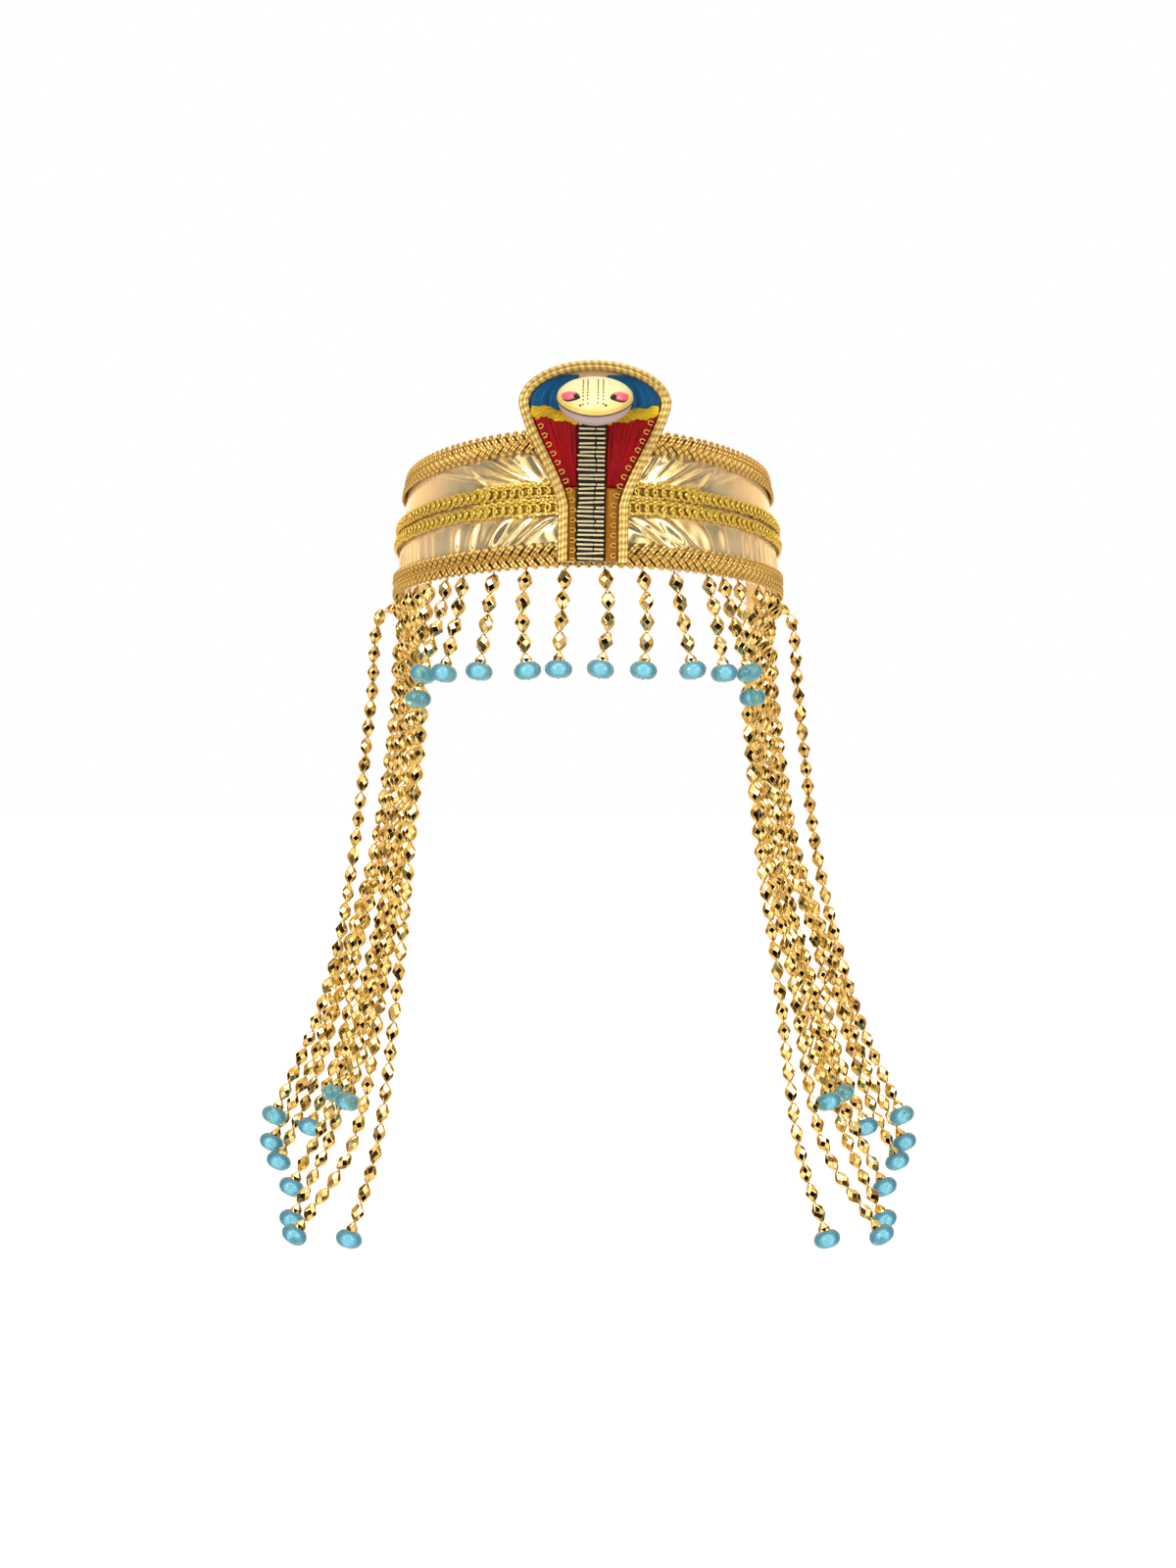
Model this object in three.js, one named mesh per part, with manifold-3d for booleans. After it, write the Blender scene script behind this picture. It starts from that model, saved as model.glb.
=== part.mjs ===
// Egyptian costume headpiece: a lamé headband with rows of gimp braid, a cobra at the forehead,
// a short bead fringe in front and long bead strands at each side.
// Millimetres, +Z up, the wearer faces -Y. The origin is the middle of the band's lower rim.
import * as THREE from "three";
import { mergeVertices } from "three/addons/utils/BufferGeometryUtils.js";
import Module from "manifold-3d";

const wasm = await Module();
wasm.setup();

const GAP = 0.3; // kept between neighbouring pieces

// Headband: an egg-shaped bow as seen from above, leaning in towards the crown and open at the nape.
const BAND_HALF_WIDTH = 88;
const BAND_WIDEST_Y = 10; // the widest line lies behind the middle, as on a head
const BAND_FRONT_REACH = 112; // from the widest line to the forehead
const BAND_BACK_REACH = 97;
const BAND_FRONT_ROUNDNESS = 1.85; // exponent of the front oval, 2 is an ellipse
const BAND_HEIGHT = 54.2; // at the middle of the side
const BAND_HEIGHT_SLOPE = -0.043; // taller at the forehead, lower at the nape
const BAND_RIM_SLOPE = -0.053; // the lower rim sinks towards the nape
const BAND_LEAN = 6.2; // how far the upper rim leans in
const BAND_WALL = 2.5;
const BAND_END_Y = 54; // both ends, just behind the strands
const BAND_STEPS = 52;
const BAND_BACK_LEVELS = [1, 0.66, 0.33, 0]; // rows of points on the inside of the wall
const FRONT_CROWDING = 0.42; // gathers the steps of the loop at the forehead
const ARC_STEPS = 40; // for lengths along the rim
const HALVINGS = 40; // for places on the rim

// Gimp braid round the band.
const EDGE_BRAID_WIDTH = 8.8;
const MIDDLE_BRAID_WIDTH = 7.4;
const MIDDLE_BRAID_SHARE = 0.5; // height of the seam between the two middle rows
const BRAID_THICKNESS = 2.1;
const BRAID_CHAMFER = 0.8;

// Plain strap that closes the band behind the head.
const STRAP_FROM = 28; // heights over the lower rim
const STRAP_TO = 46;
const STRAP_THICKNESS = 1.5;
const STRAP_LAP = 16; // how far it runs inside each end of the band

// Folds of the lamé: arc is millimetres along the rim from the forehead, zone 0 lies under the middle
// braid and zone 1 over it, slant is degrees from the vertical towards +X at the top.
const FOLD_COLUMNS = ["arc", "zone", "slant", "width", "lift"];
const FOLDS = [
  [-24, 1, -38, 4.5, 1.6],
  [-39, 1, -60, 5, 1.7],
  [-62, 1, -68, 5, 1.0],
  [26, 1, 38, 4.5, 1.4],
  [43, 1, 58, 5, 1.1],
  [66, 1, 66, 5, 0.8],
  [24, 0, -62, 4, 1.5],
  [38, 0, -55, 4, 1.6],
  [52, 0, -35, 4.5, 1.1],
  [70, 0, -10, 5, 1.0],
  [90, 0, 8, 6, 1.0],
  [-27, 0, 50, 4, 1.2],
  [-42, 0, 24, 4.5, 1.2],
  [-58, 0, 10, 5, 1.1],
  [-76, 0, -8, 5, 1.0],
  [-96, 0, 6, 6, 1.0],
];

// Cobra: heights run up from the foot of the hood.
const COBRA_X = 1.9; // sewn on a little to one side
const COBRA_FOOT_Z = 5.6;
const COBRA_BACK_Y = -105.1; // back of the hood at its foot
const COBRA_LEAN = THREE.MathUtils.degToRad(3.5);
const COBRA_TILT = THREE.MathUtils.degToRad(-0.9); // its top is a little further over
const HOOD_FOOT_HALF = 14.8;
const HOOD_HALF = 32.1;
const HOOD_FLARE_FROM = 24;
const HOOD_WIDEST = 67.3;
const HOOD_TOP = 85.8;
const HOOD_THICKNESS = 3;
const HOOD_FLARE_STEPS = 7;
const HOOD_ARCH_DEGREES = [20, 40, 60, 76, 90];
const EDGING_WIDTH = 4.2;
const EDGING_THICKNESS = 3;
const EDGING_STEPS = 40;
const EDGING_SEGMENTS = 2;
const BELLY_HALF = 5.9;
const BELLY_X = -1; // off the middle of the hood
const BELLY_FROM = 0.8;
const BELLY_TO = 60.4;
const BELLY_RIBS = 31;
const BELLY_THICKNESS = 3.6;
const BELLY_GROOVE = 0.9;
const PANEL_THICKNESS = 2;
const PANEL_INSET = 5.5; // from the hood's outline, clear of the slanting cord
const PANEL_CROWN = 0.7; // the rounding of a panel's edges
const PANEL_STEPS = 5;
const PANELS = [
  { name: "mustard", from: 0.8, to: 31.9, color: "#b4761a" },
  { name: "red", from: 32.2, to: 60.6, color: "#b01020" },
  { name: "yellow", from: 60.9, to: 65.6, color: "#e0b81e" },
  { name: "blue", from: 65.9, to: 79.6, color: "#0f5580" },
];
const HEAD_HALF_WIDTH = 15.8;
const HEAD_HALF_LENGTH = 16;
const HEAD_RISE = 9;
const HEAD_SIDES = 20;
const HEAD_TAPER = 0.1; // narrower towards the snout
const HEAD_POINTING = 0.06; // narrower at both ends
const DOME_COLUMNS = ["radius", "height"];
const DOME = [
  [0, 0],
  [0.97, 0],
  [1, 0.2],
  [0.92, 0.5],
  [0.7, 0.8],
  [0.36, 0.96],
  [0, 1],
];
const JAW_DEPTH = 6.5;
const JAW_SHARE = 0.97; // the jaw is a little smaller than the upper head
const HEAD_PITCH = THREE.MathUtils.degToRad(54); // the snout's slope away from the hood
const HEAD_MIDDLE = 64.4; // height of the mouth's middle
const HEAD_STANDOFF = 18.9; // from the back of the hood to the mouth's middle
const EYE_RADII = [4.7, 2.5, 1.9];
const EYE_OUT = 10.2;
const EYE_FORWARD = 6.6; // along the head, towards the snout
const EYE_LIFT = 5.7;
const EYE_SLANT = THREE.MathUtils.degToRad(30); // the inner end lies lower, seen from in front
const EYE_SIDES = 10;
const EYE_ROWS = 6;

// Bead strings: faceted gold beads on a thread, closed by a round turquoise bead.
const BEAD_PITCH = 8.7;
const BEAD_RADIUS = 3.2;
const BEAD_NECK = 0.9;
const BEAD_SIDES = 6;
const CAP_LENGTH = 4.6;
const CAP_RADIUS = 2.7;
const CAP_STRAIGHT = 1.5; // its lower part, before it narrows
const THREAD_LENGTH = 1.2; // bare thread under the braid
const THREAD_RADIUS = 0.6;
const DROP_RADIUS = 5.9;
const DROP_HEIGHT = 8.4;
const DROP_SIDES = 10;
const DROP_LATITUDES = [-90, -42, 0, 42, 90];
const DROP_SINK = 0.8; // how far a string's end goes into its turquoise bead

// Short fringe: x is the place on the rim, beads counts the whole beads, swing is how far the end
// hangs out of line with the start.
const FRINGE_COLUMNS = ["x", "beads", "swing"];
const FRINGE = [
  [-69, 5, -5.5],
  [-61, 4, -10],
  [-53.6, 4, -8],
  [-40.1, 4, -6],
  [-26, 4, 0],
  [-9.3, 4, -3],
  [6.8, 4, -1],
  [23, 4, 0.8],
  [36.6, 4, 7.5],
  [51.1, 4, 7.2],
  [58.2, 4, 11],
  [65.5, 5, 6.2],
];

// Long strands of one side: seatY is the place on the rim, the X columns are the distance from the
// middle plane at six heights, earZ is the first of these heights and tipZ that of the end. The last
// strand swings out over the hair. The other side mirrors them.
const STRAND_COLUMNS = ["seatY", "earX", "earZ", "neckX", "waistX", "flareX", "hemX", "tipX", "tipZ"];
const STRANDS = [
  [-42, 74.5, -20, 73.2, 78.3, 82.2, 91.5, 102.1, -280],
  [-32, 76.8, -20, 75, 80.7, 88.5, 103.3, 126, -280.3],
  [-21, 79.4, -20, 77, 82.7, 91, 94.6, 105, -223.9],
  [-12.5, 81.6, -20, 79, 85.1, 93.9, 113.6, 129.7, -276.7],
  [-2, 84, -20, 81.4, 87.2, 98.2, 104, 112.8, -222.6],
  [8, 86, -20, 83.5, 91.5, 96.8, 115.3, 132.2, -265.6],
  [27, 88, -20, 86.6, 94.7, 106.8, 113.5, 126.2, -241.2],
  [36, 89.1, -20, 89.1, 96.9, 110.5, 126.1, 141.4, -258],
  [45, 90.1, -20, 91.6, 100.3, 113.5, 128.4, 145.7, -250.7],
  [17.5, 96.4, -7, 101, 107.8, 115.5, 126, 141.5, -234.8],
];
const NECK_Z = -46;
const WAIST_Z = -114;
const FLARE_Z = -165;
const HEM_RISE = 35; // the hem column lies this far over the end
const RIGHT_TUCK = 2.7; // the right-hand strands hang a little closer to the neck
const STRAND_FORWARD = 37; // the longest ends lie this far in front of their seats
const STRAND_FALL = 285; // over this much height
const STRAND_LEAD = 2.5; // each strand starts straight down
const STRAND_RADIUS = 2.8;
const STRAND_SIDES = 8;
const STRAND_STEPS = 13;

const lame = { color: "#e3bd7c", metalness: 0.8, roughness: 0.35 };
const gimp = { color: "#d2a53c", metalness: 0.8, roughness: 0.4 };
const goldBead = { color: "#d99f33", metalness: 0.95, roughness: 0.15 };
const goldCord = { color: "#dcc47c", metalness: 0.7, roughness: 0.4 };
const pearlGold = { color: "#f0e2a8", metalness: 0.1, roughness: 0.35 };
const mauve = { color: "#a08880", metalness: 0.05, roughness: 0.5 };
const creamBugle = { color: "#e8dcb4", metalness: 0.2, roughness: 0.3 };
const buckram = { color: "#3a2a1c", metalness: 0, roughness: 0.8 };
const redGlass = { color: "#e04058", metalness: 0, roughness: 0.1 };
const satin = { metalness: 0, roughness: 0.45 };

const MERGE_DISTANCE = 1e-4;
const group = new THREE.Group();

function addPiece(name, geometry, material, parent = group) {
  const mesh = new THREE.Mesh(geometry, new THREE.MeshStandardMaterial(material));
  mesh.name = name;
  parent.add(mesh);
  return mesh;
}

function rows(columns, table) {
  return table.map((row) => Object.fromEntries(columns.map((key, i) => [key, row[i]])));
}

function toSolid(geometry) {
  const bare = geometry.clone();
  bare.deleteAttribute("normal");
  bare.deleteAttribute("uv");
  const merged = mergeVertices(bare, MERGE_DISTANCE);
  const vertProperties = new Float32Array(merged.attributes.position.array);
  const triVerts = new Uint32Array(merged.index.array);
  return new wasm.Manifold(new wasm.Mesh({ numProp: 3, vertProperties, triVerts }));
}

function toGeometry(solid) {
  const mesh = solid.getMesh();
  const geometry = new THREE.BufferGeometry();
  geometry.setAttribute("position", new THREE.BufferAttribute(mesh.vertProperties, 3));
  geometry.setIndex(new THREE.BufferAttribute(mesh.triVerts, 1));
  geometry.computeVertexNormals();
  return geometry;
}

const bend = (value, power) => Math.sign(value) * Math.abs(value) ** power;

// A point of the band's outline seen from above; angle 0 is the forehead, +90 degrees is +X.
function outline(angle, inset) {
  const front = Math.cos(angle) > 0;
  const reach = (front ? BAND_FRONT_REACH : BAND_BACK_REACH) - inset;
  const power = 2 / (front ? BAND_FRONT_ROUNDNESS : 2);
  const x = (BAND_HALF_WIDTH - inset) * bend(Math.sin(angle), power);
  const y = BAND_WIDEST_Y - reach * bend(Math.cos(angle), power);
  return new THREE.Vector2(x, y);
}

const rimZ = (y) => BAND_RIM_SLOPE * y;
const bandHeight = (y) => BAND_HEIGHT + BAND_HEIGHT_SLOPE * y;
const loopAngle = (turn) => 2 * Math.PI * turn - FRONT_CROWDING * Math.sin(2 * Math.PI * turn);

// A point on the band: share runs from the lower rim to the upper, rise adds millimetres to it,
// out is the distance in front of the lamé.
function bandPoint(angle, share, rise, out) {
  const seat = outline(angle, 0);
  const height = bandHeight(seat.y);
  const level = share + rise / height;
  const place = outline(angle, BAND_LEAN * level * level - out);
  return new THREE.Vector3(place.x, place.y, rimZ(seat.y) + level * height);
}

// Distance along the lower rim from the forehead, signed as x is.
function rimArc(angle) {
  let length = 0;
  for (let i = 0; i < ARC_STEPS; i++) {
    const from = outline((angle * i) / ARC_STEPS, 0);
    length += from.distanceTo(outline((angle * (i + 1)) / ARC_STEPS, 0));
  }
  return Math.sign(angle) * length;
}

// A closed loop round the head: each profile point has a share, a rise and an out.
function loopGeometry(profile, lift = () => 0) {
  const closed = [...profile, profile[0]];
  const points = closed.map((p) => new THREE.Vector2(BAND_HALF_WIDTH + p.out, p.share));
  const geometry = new THREE.LatheGeometry(points, BAND_STEPS);
  const { position, uv } = geometry.attributes;
  for (let i = 0; i < position.count; i++) {
    const p = closed[Math.round(uv.getY(i) * (closed.length - 1))];
    const angle = loopAngle(uv.getX(i));
    const place = bandPoint(angle, p.share, p.rise, p.out + lift(angle, p));
    position.setXYZ(i, place.x, place.y, place.z);
  }
  return geometry;
}

// Cuts a loop off in front of or behind a line across the head.
const CUT_SIZE = 400;

function cutLoop(geometry, lineY, keepFront) {
  const box = new THREE.BoxGeometry(CUT_SIZE, CUT_SIZE, CUT_SIZE);
  box.translate(0, lineY + (keepFront ? CUT_SIZE : -CUT_SIZE) / 2, 0);
  return toGeometry(toSolid(geometry).subtract(toSolid(box)));
}

// Headband, with its folds raised in the two bare zones of lamé.
const foldRows = rows(FOLD_COLUMNS, FOLDS);
const ZONES = [
  { share: 0, from: EDGE_BRAID_WIDTH, to: -MIDDLE_BRAID_WIDTH },
  { share: MIDDLE_BRAID_SHARE, from: MIDDLE_BRAID_WIDTH, to: -EDGE_BRAID_WIDTH },
];
const ZONE_LEVELS = [0, 0.3, 0.7, 1];
const ZONE_SHARE = MIDDLE_BRAID_SHARE;

function zonePoints(zone, index) {
  return ZONE_LEVELS.map((level) => ({
    share: zone.share + ZONE_SHARE * level,
    rise: zone.from + (zone.to - zone.from) * level,
    out: 0,
    zone: index,
    level,
  }));
}

function foldLift(angle, point) {
  if (point.zone === undefined) return 0;
  const signed = angle > Math.PI ? angle - 2 * Math.PI : angle;
  const arc = rimArc(signed);
  const zoneHeight = BAND_HEIGHT * ZONE_SHARE - EDGE_BRAID_WIDTH - MIDDLE_BRAID_WIDTH;
  const along = (point.level - 0.5) * zoneHeight;
  const fade = Math.sin(Math.PI * point.level);
  return foldRows
    .filter((fold) => fold.zone === point.zone)
    .map((fold) => {
      const lean = Math.tan(THREE.MathUtils.degToRad(fold.slant));
      const across = (arc - fold.arc - along * lean) / fold.width;
      return fade * fold.lift * Math.exp(-across * across);
    })
    .reduce((sum, lift) => sum + lift, 0);
}

const edge = (share, out) => ({ share, rise: 0, out });
const bandProfile = [
  edge(0, 0),
  ...zonePoints(ZONES[0], 0),
  ...zonePoints(ZONES[1], 1),
  edge(1, 0),
  ...BAND_BACK_LEVELS.map((level) => edge(level, -BAND_WALL)),
];
addPiece("headband", cutLoop(loopGeometry(bandProfile, foldLift), BAND_END_Y, true), lame);

// Back strap, inside the ends of the band.
const strapOut = -BAND_WALL - GAP;
const strapProfile = [
  { share: 0, rise: STRAP_FROM, out: strapOut },
  { share: 0, rise: STRAP_TO, out: strapOut },
  { share: 0, rise: STRAP_TO, out: strapOut - STRAP_THICKNESS },
  { share: 0, rise: STRAP_FROM, out: strapOut - STRAP_THICKNESS },
];
addPiece("back_strap", cutLoop(loopGeometry(strapProfile), BAND_END_Y - STRAP_LAP, false), lame);

// Braids: low strips with chamfered sides, flush with the rims and paired at the middle.
function addBraid(name, share, from, to) {
  const profile = [
    { share, rise: from, out: GAP },
    { share, rise: from + BRAID_CHAMFER, out: GAP + BRAID_THICKNESS },
    { share, rise: to - BRAID_CHAMFER, out: GAP + BRAID_THICKNESS },
    { share, rise: to, out: GAP },
  ];
  addPiece(name, cutLoop(loopGeometry(profile), BAND_END_Y, true), gimp);
}
addBraid("braid_bottom", 0, 0, EDGE_BRAID_WIDTH - GAP);
addBraid("braid_middle_lower", MIDDLE_BRAID_SHARE, GAP - MIDDLE_BRAID_WIDTH, -GAP / 2);
addBraid("braid_middle_upper", MIDDLE_BRAID_SHARE, GAP / 2, MIDDLE_BRAID_WIDTH - GAP);
addBraid("braid_top", 1, GAP - EDGE_BRAID_WIDTH, 0);

// Cobra frame: x across, y up the hood, z out from its back.
const cobra = new THREE.Group();
cobra.position.set(COBRA_X, COBRA_BACK_Y, COBRA_FOOT_Z);
cobra.rotation.x = Math.PI / 2 - COBRA_LEAN;
cobra.rotation.z = COBRA_TILT;
group.add(cobra);

// Half the hood's width at a height, inside an inset from its outline.
function hoodHalf(height, inset) {
  if (height > HOOD_WIDEST) {
    const up = (height - HOOD_WIDEST) / (HOOD_TOP - HOOD_WIDEST - inset);
    return (HOOD_HALF - inset) * Math.sqrt(Math.max(0, 1 - up * up));
  }
  const up = THREE.MathUtils.clamp((height - HOOD_FLARE_FROM) / (HOOD_WIDEST - HOOD_FLARE_FROM), 0, 1);
  const flare = (up + THREE.MathUtils.smoothstep(up, 0, 1)) / 2;
  return HOOD_FOOT_HALF + (HOOD_HALF - HOOD_FOOT_HALF) * flare - inset;
}

// The right edge of the hood from its foot to its top, moved in by an inset.
function hoodEdge(inset) {
  const side = [new THREE.Vector2(hoodHalf(0, inset), 0)];
  for (let i = 0; i <= HOOD_FLARE_STEPS; i++) {
    const height = HOOD_FLARE_FROM + ((HOOD_WIDEST - HOOD_FLARE_FROM) * i) / HOOD_FLARE_STEPS;
    side.push(new THREE.Vector2(hoodHalf(height, inset), height));
  }
  const arch = HOOD_ARCH_DEGREES.map((degrees) => {
    const turn = THREE.MathUtils.degToRad(degrees);
    const x = (HOOD_HALF - inset) * Math.cos(turn);
    return new THREE.Vector2(x, HOOD_WIDEST + (HOOD_TOP - HOOD_WIDEST - inset) * Math.sin(turn));
  });
  return [...side, ...arch];
}

const mirrored = (points) => points.map((p) => new THREE.Vector2(-p.x, p.y)).reverse();
const hoodPoints = hoodEdge(0);
const hoodShape = new THREE.Shape([...hoodPoints, ...mirrored(hoodPoints).slice(1)]);
const hoodGeometry = new THREE.ExtrudeGeometry(hoodShape, { depth: HOOD_THICKNESS, bevelEnabled: false });
addPiece("hood_backing", hoodGeometry, buckram, cobra);

// Edging: a flat-sided cord on the hood's front, round the sides and the top.
const cordRow = hoodEdge(EDGING_WIDTH / 2);
const cordPath = [...cordRow, ...mirrored(cordRow).slice(1)];
const cordLevel = HOOD_THICKNESS + GAP + EDGING_THICKNESS / 2;
const cordCurve = new THREE.CatmullRomCurve3(cordPath.map((p) => new THREE.Vector3(p.x, p.y, cordLevel)));
const cordSection = new THREE.Shape();
cordSection.absellipse(0, 0, EDGING_THICKNESS / 2, EDGING_WIDTH / 2, 0, 2 * Math.PI);
const cordGeometry = new THREE.ExtrudeGeometry(cordSection, {
  extrudePath: cordCurve,
  steps: EDGING_STEPS,
  curveSegments: EDGING_SEGMENTS,
});
addPiece("hood_edging", cordGeometry, goldCord, cobra);

// Satin panels between the edging and the belly column, mirrored left and right.
for (const panel of PANELS) {
  const border = PANEL_INSET + PANEL_CROWN;
  const from = panel.from + PANEL_CROWN;
  const to = panel.to - PANEL_CROWN;
  const outer = [];
  for (let i = 0; i <= PANEL_STEPS; i++) {
    const height = from + ((to - from) * i) / PANEL_STEPS;
    outer.push(new THREE.Vector2(hoodHalf(height, border), height));
  }
  for (const [side, sign] of [["left", -1], ["right", 1]]) {
    const inner = BELLY_HALF + sign * BELLY_X + GAP + PANEL_CROWN;
    const half = [new THREE.Vector2(inner, to), new THREE.Vector2(inner, from), ...outer];
    const shape = new THREE.Shape(sign < 0 ? mirrored(half) : half);
    const geometry = new THREE.ExtrudeGeometry(shape, {
      depth: PANEL_THICKNESS - PANEL_CROWN,
      bevelThickness: PANEL_CROWN,
      bevelSize: PANEL_CROWN,
      bevelSegments: 1,
    });
    geometry.translate(0, 0, HOOD_THICKNESS + GAP + PANEL_CROWN);
    addPiece(`panel_${panel.name}_${side}`, geometry, { ...satin, color: panel.color }, cobra);
  }
}

// Belly column: a ribbed bar, its side view drawn once and drawn out across the hood.
const ribPitch = (BELLY_TO - BELLY_FROM) / BELLY_RIBS;
const bellyBack = HOOD_THICKNESS + GAP;
const bellyShape = new THREE.Shape();
bellyShape.moveTo(bellyBack, BELLY_FROM);
for (let i = 0; i < BELLY_RIBS; i++) {
  const foot = BELLY_FROM + ribPitch * i;
  bellyShape.lineTo(bellyBack + BELLY_THICKNESS - BELLY_GROOVE, foot);
  bellyShape.lineTo(bellyBack + BELLY_THICKNESS, foot + ribPitch / 2);
}
bellyShape.lineTo(bellyBack + BELLY_THICKNESS - BELLY_GROOVE, BELLY_TO);
bellyShape.lineTo(bellyBack, BELLY_TO);
const bellyGeometry = new THREE.ExtrudeGeometry(bellyShape, { depth: 2 * BELLY_HALF, bevelEnabled: false });
bellyGeometry.translate(0, 0, -BELLY_HALF);
bellyGeometry.rotateY(-Math.PI / 2);
bellyGeometry.translate(BELLY_X, 0, 0);
addPiece("belly_column", bellyGeometry, creamBugle, cobra);

// Head frame: x across, y up out of the skull, z along the snout.
const head = new THREE.Group();
head.position.set(0, HEAD_MIDDLE, HEAD_STANDOFF);
head.rotation.x = Math.PI / 2 - HEAD_PITCH;
cobra.add(head);

// A half skull: flat at the mouth, domed away from it, fuller at the jowls than at the snout.
function skull(share, rise) {
  const profile = rows(DOME_COLUMNS, DOME).map((p) => new THREE.Vector2(p.radius, p.height));
  const geometry = new THREE.LatheGeometry(profile, HEAD_SIDES);
  const { position } = geometry.attributes;
  for (let i = 0; i < position.count; i++) {
    const along = position.getZ(i);
    const fullness = 1 - HEAD_TAPER * along - HEAD_POINTING * along * along;
    position.setX(i, position.getX(i) * fullness);
  }
  geometry.scale(HEAD_HALF_WIDTH * share, rise, HEAD_HALF_LENGTH * share);
  return geometry;
}

function eye(side, grow) {
  const geometry = new THREE.SphereGeometry(1, EYE_SIDES, EYE_ROWS);
  const [long, short, deep] = EYE_RADII.map((r) => r + grow);
  geometry.scale(long, deep, short);
  const place = new THREE.Vector3(side * EYE_OUT, EYE_LIFT, EYE_FORWARD);
  const halves = new THREE.Vector3(HEAD_HALF_WIDTH, HEAD_RISE, HEAD_HALF_LENGTH);
  const out = place.clone().divide(halves).divide(halves).normalize();
  const seen = new THREE.Vector3(side * Math.cos(EYE_SLANT), Math.sin(EYE_SLANT), 0);
  seen.applyAxisAngle(new THREE.Vector3(1, 0, 0), HEAD_PITCH - Math.PI / 2);
  const along = seen.projectOnPlane(out).normalize();
  const across = along.clone().cross(out);
  const frame = new THREE.Matrix4().makeBasis(along, out, across).setPosition(place);
  geometry.applyMatrix4(frame);
  return geometry;
}

const sockets = toSolid(eye(-1, GAP)).add(toSolid(eye(1, GAP)));
const upperHead = toSolid(skull(1, HEAD_RISE)).subtract(sockets);
addPiece("cobra_head", toGeometry(upperHead), pearlGold, head);
const jawGeometry = skull(JAW_SHARE, JAW_DEPTH);
jawGeometry.rotateZ(Math.PI);
jawGeometry.translate(0, -GAP, 0);
addPiece("cobra_jaw", jawGeometry, mauve, head);
addPiece("eye_left", eye(-1, 0), redGlass, head);
addPiece("eye_right", eye(1, 0), redGlass, head);

// A turquoise end bead whose top lies at the origin, hanging down.
function dropGeometry() {
  const half = DROP_HEIGHT / 2;
  const profile = DROP_LATITUDES.map((degrees) => {
    const turn = THREE.MathUtils.degToRad(degrees);
    return new THREE.Vector2(Math.max(0, DROP_RADIUS * Math.cos(turn)), half * Math.sin(turn) - half);
  });
  return new THREE.LatheGeometry(profile, DROP_SIDES).rotateX(Math.PI / 2);
}

// A straight string whose top lies at the origin: bare thread, whole beads, a half bead as cap.
function beadGeometry(beads) {
  const length = THREAD_LENGTH + beads * BEAD_PITCH + CAP_LENGTH;
  const profile = [
    [0, -length],
    [CAP_RADIUS, -length],
    [CAP_RADIUS, -length + CAP_STRAIGHT],
  ];
  for (let i = beads - 1; i >= 0; i--) {
    const top = -THREAD_LENGTH - i * BEAD_PITCH;
    profile.push([BEAD_NECK, top - BEAD_PITCH]);
    profile.push([BEAD_RADIUS, top - BEAD_PITCH / 2]);
  }
  profile.push([BEAD_NECK, -THREAD_LENGTH], [THREAD_RADIUS, 0], [0, 0]);
  const geometry = new THREE.LatheGeometry(profile.map(([r, h]) => new THREE.Vector2(r, h)), BEAD_SIDES);
  return { geometry: geometry.rotateX(Math.PI / 2), length };
}

// The angle of the rim at which its outline reaches an x in front, or a y at the side.
function solveAngle(reached, from, to) {
  let low = from;
  let high = to;
  for (let i = 0; i < HALVINGS; i++) {
    const middle = (low + high) / 2;
    if (reached(outline(middle, 0))) high = middle;
    else low = middle;
  }
  return low;
}

const SEAT_OUT = GAP + BRAID_THICKNESS / 2 - BAND_WALL / 2; // strings hang from the middle of band and braid
const SEAT_DROP = GAP; // clear of the rim above

rows(FRINGE_COLUMNS, FRINGE).forEach((row, index) => {
  const angle = Math.sign(row.x) * solveAngle((p) => p.x > Math.abs(row.x), 0, Math.PI / 2);
  const seat = bandPoint(angle, 0, -SEAT_DROP, SEAT_OUT);
  const { geometry, length } = beadGeometry(row.beads);
  const drop = dropGeometry().translate(0, 0, DROP_SINK - length);
  const string = toGeometry(toSolid(geometry).add(toSolid(drop)));
  const mesh = addPiece(`fringe_${String(index + 1).padStart(2, "0")}`, string, goldBead);
  mesh.position.copy(seat);
  mesh.rotation.y = -Math.asin(row.swing / length);
});

const strandSection = new THREE.Shape();
for (let i = 0; i < STRAND_SIDES; i++) {
  const turn = (2 * Math.PI * i) / STRAND_SIDES;
  const corner = [STRAND_RADIUS * Math.cos(turn), STRAND_RADIUS * Math.sin(turn)];
  if (i === 0) strandSection.moveTo(...corner);
  else strandSection.lineTo(...corner);
}

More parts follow.
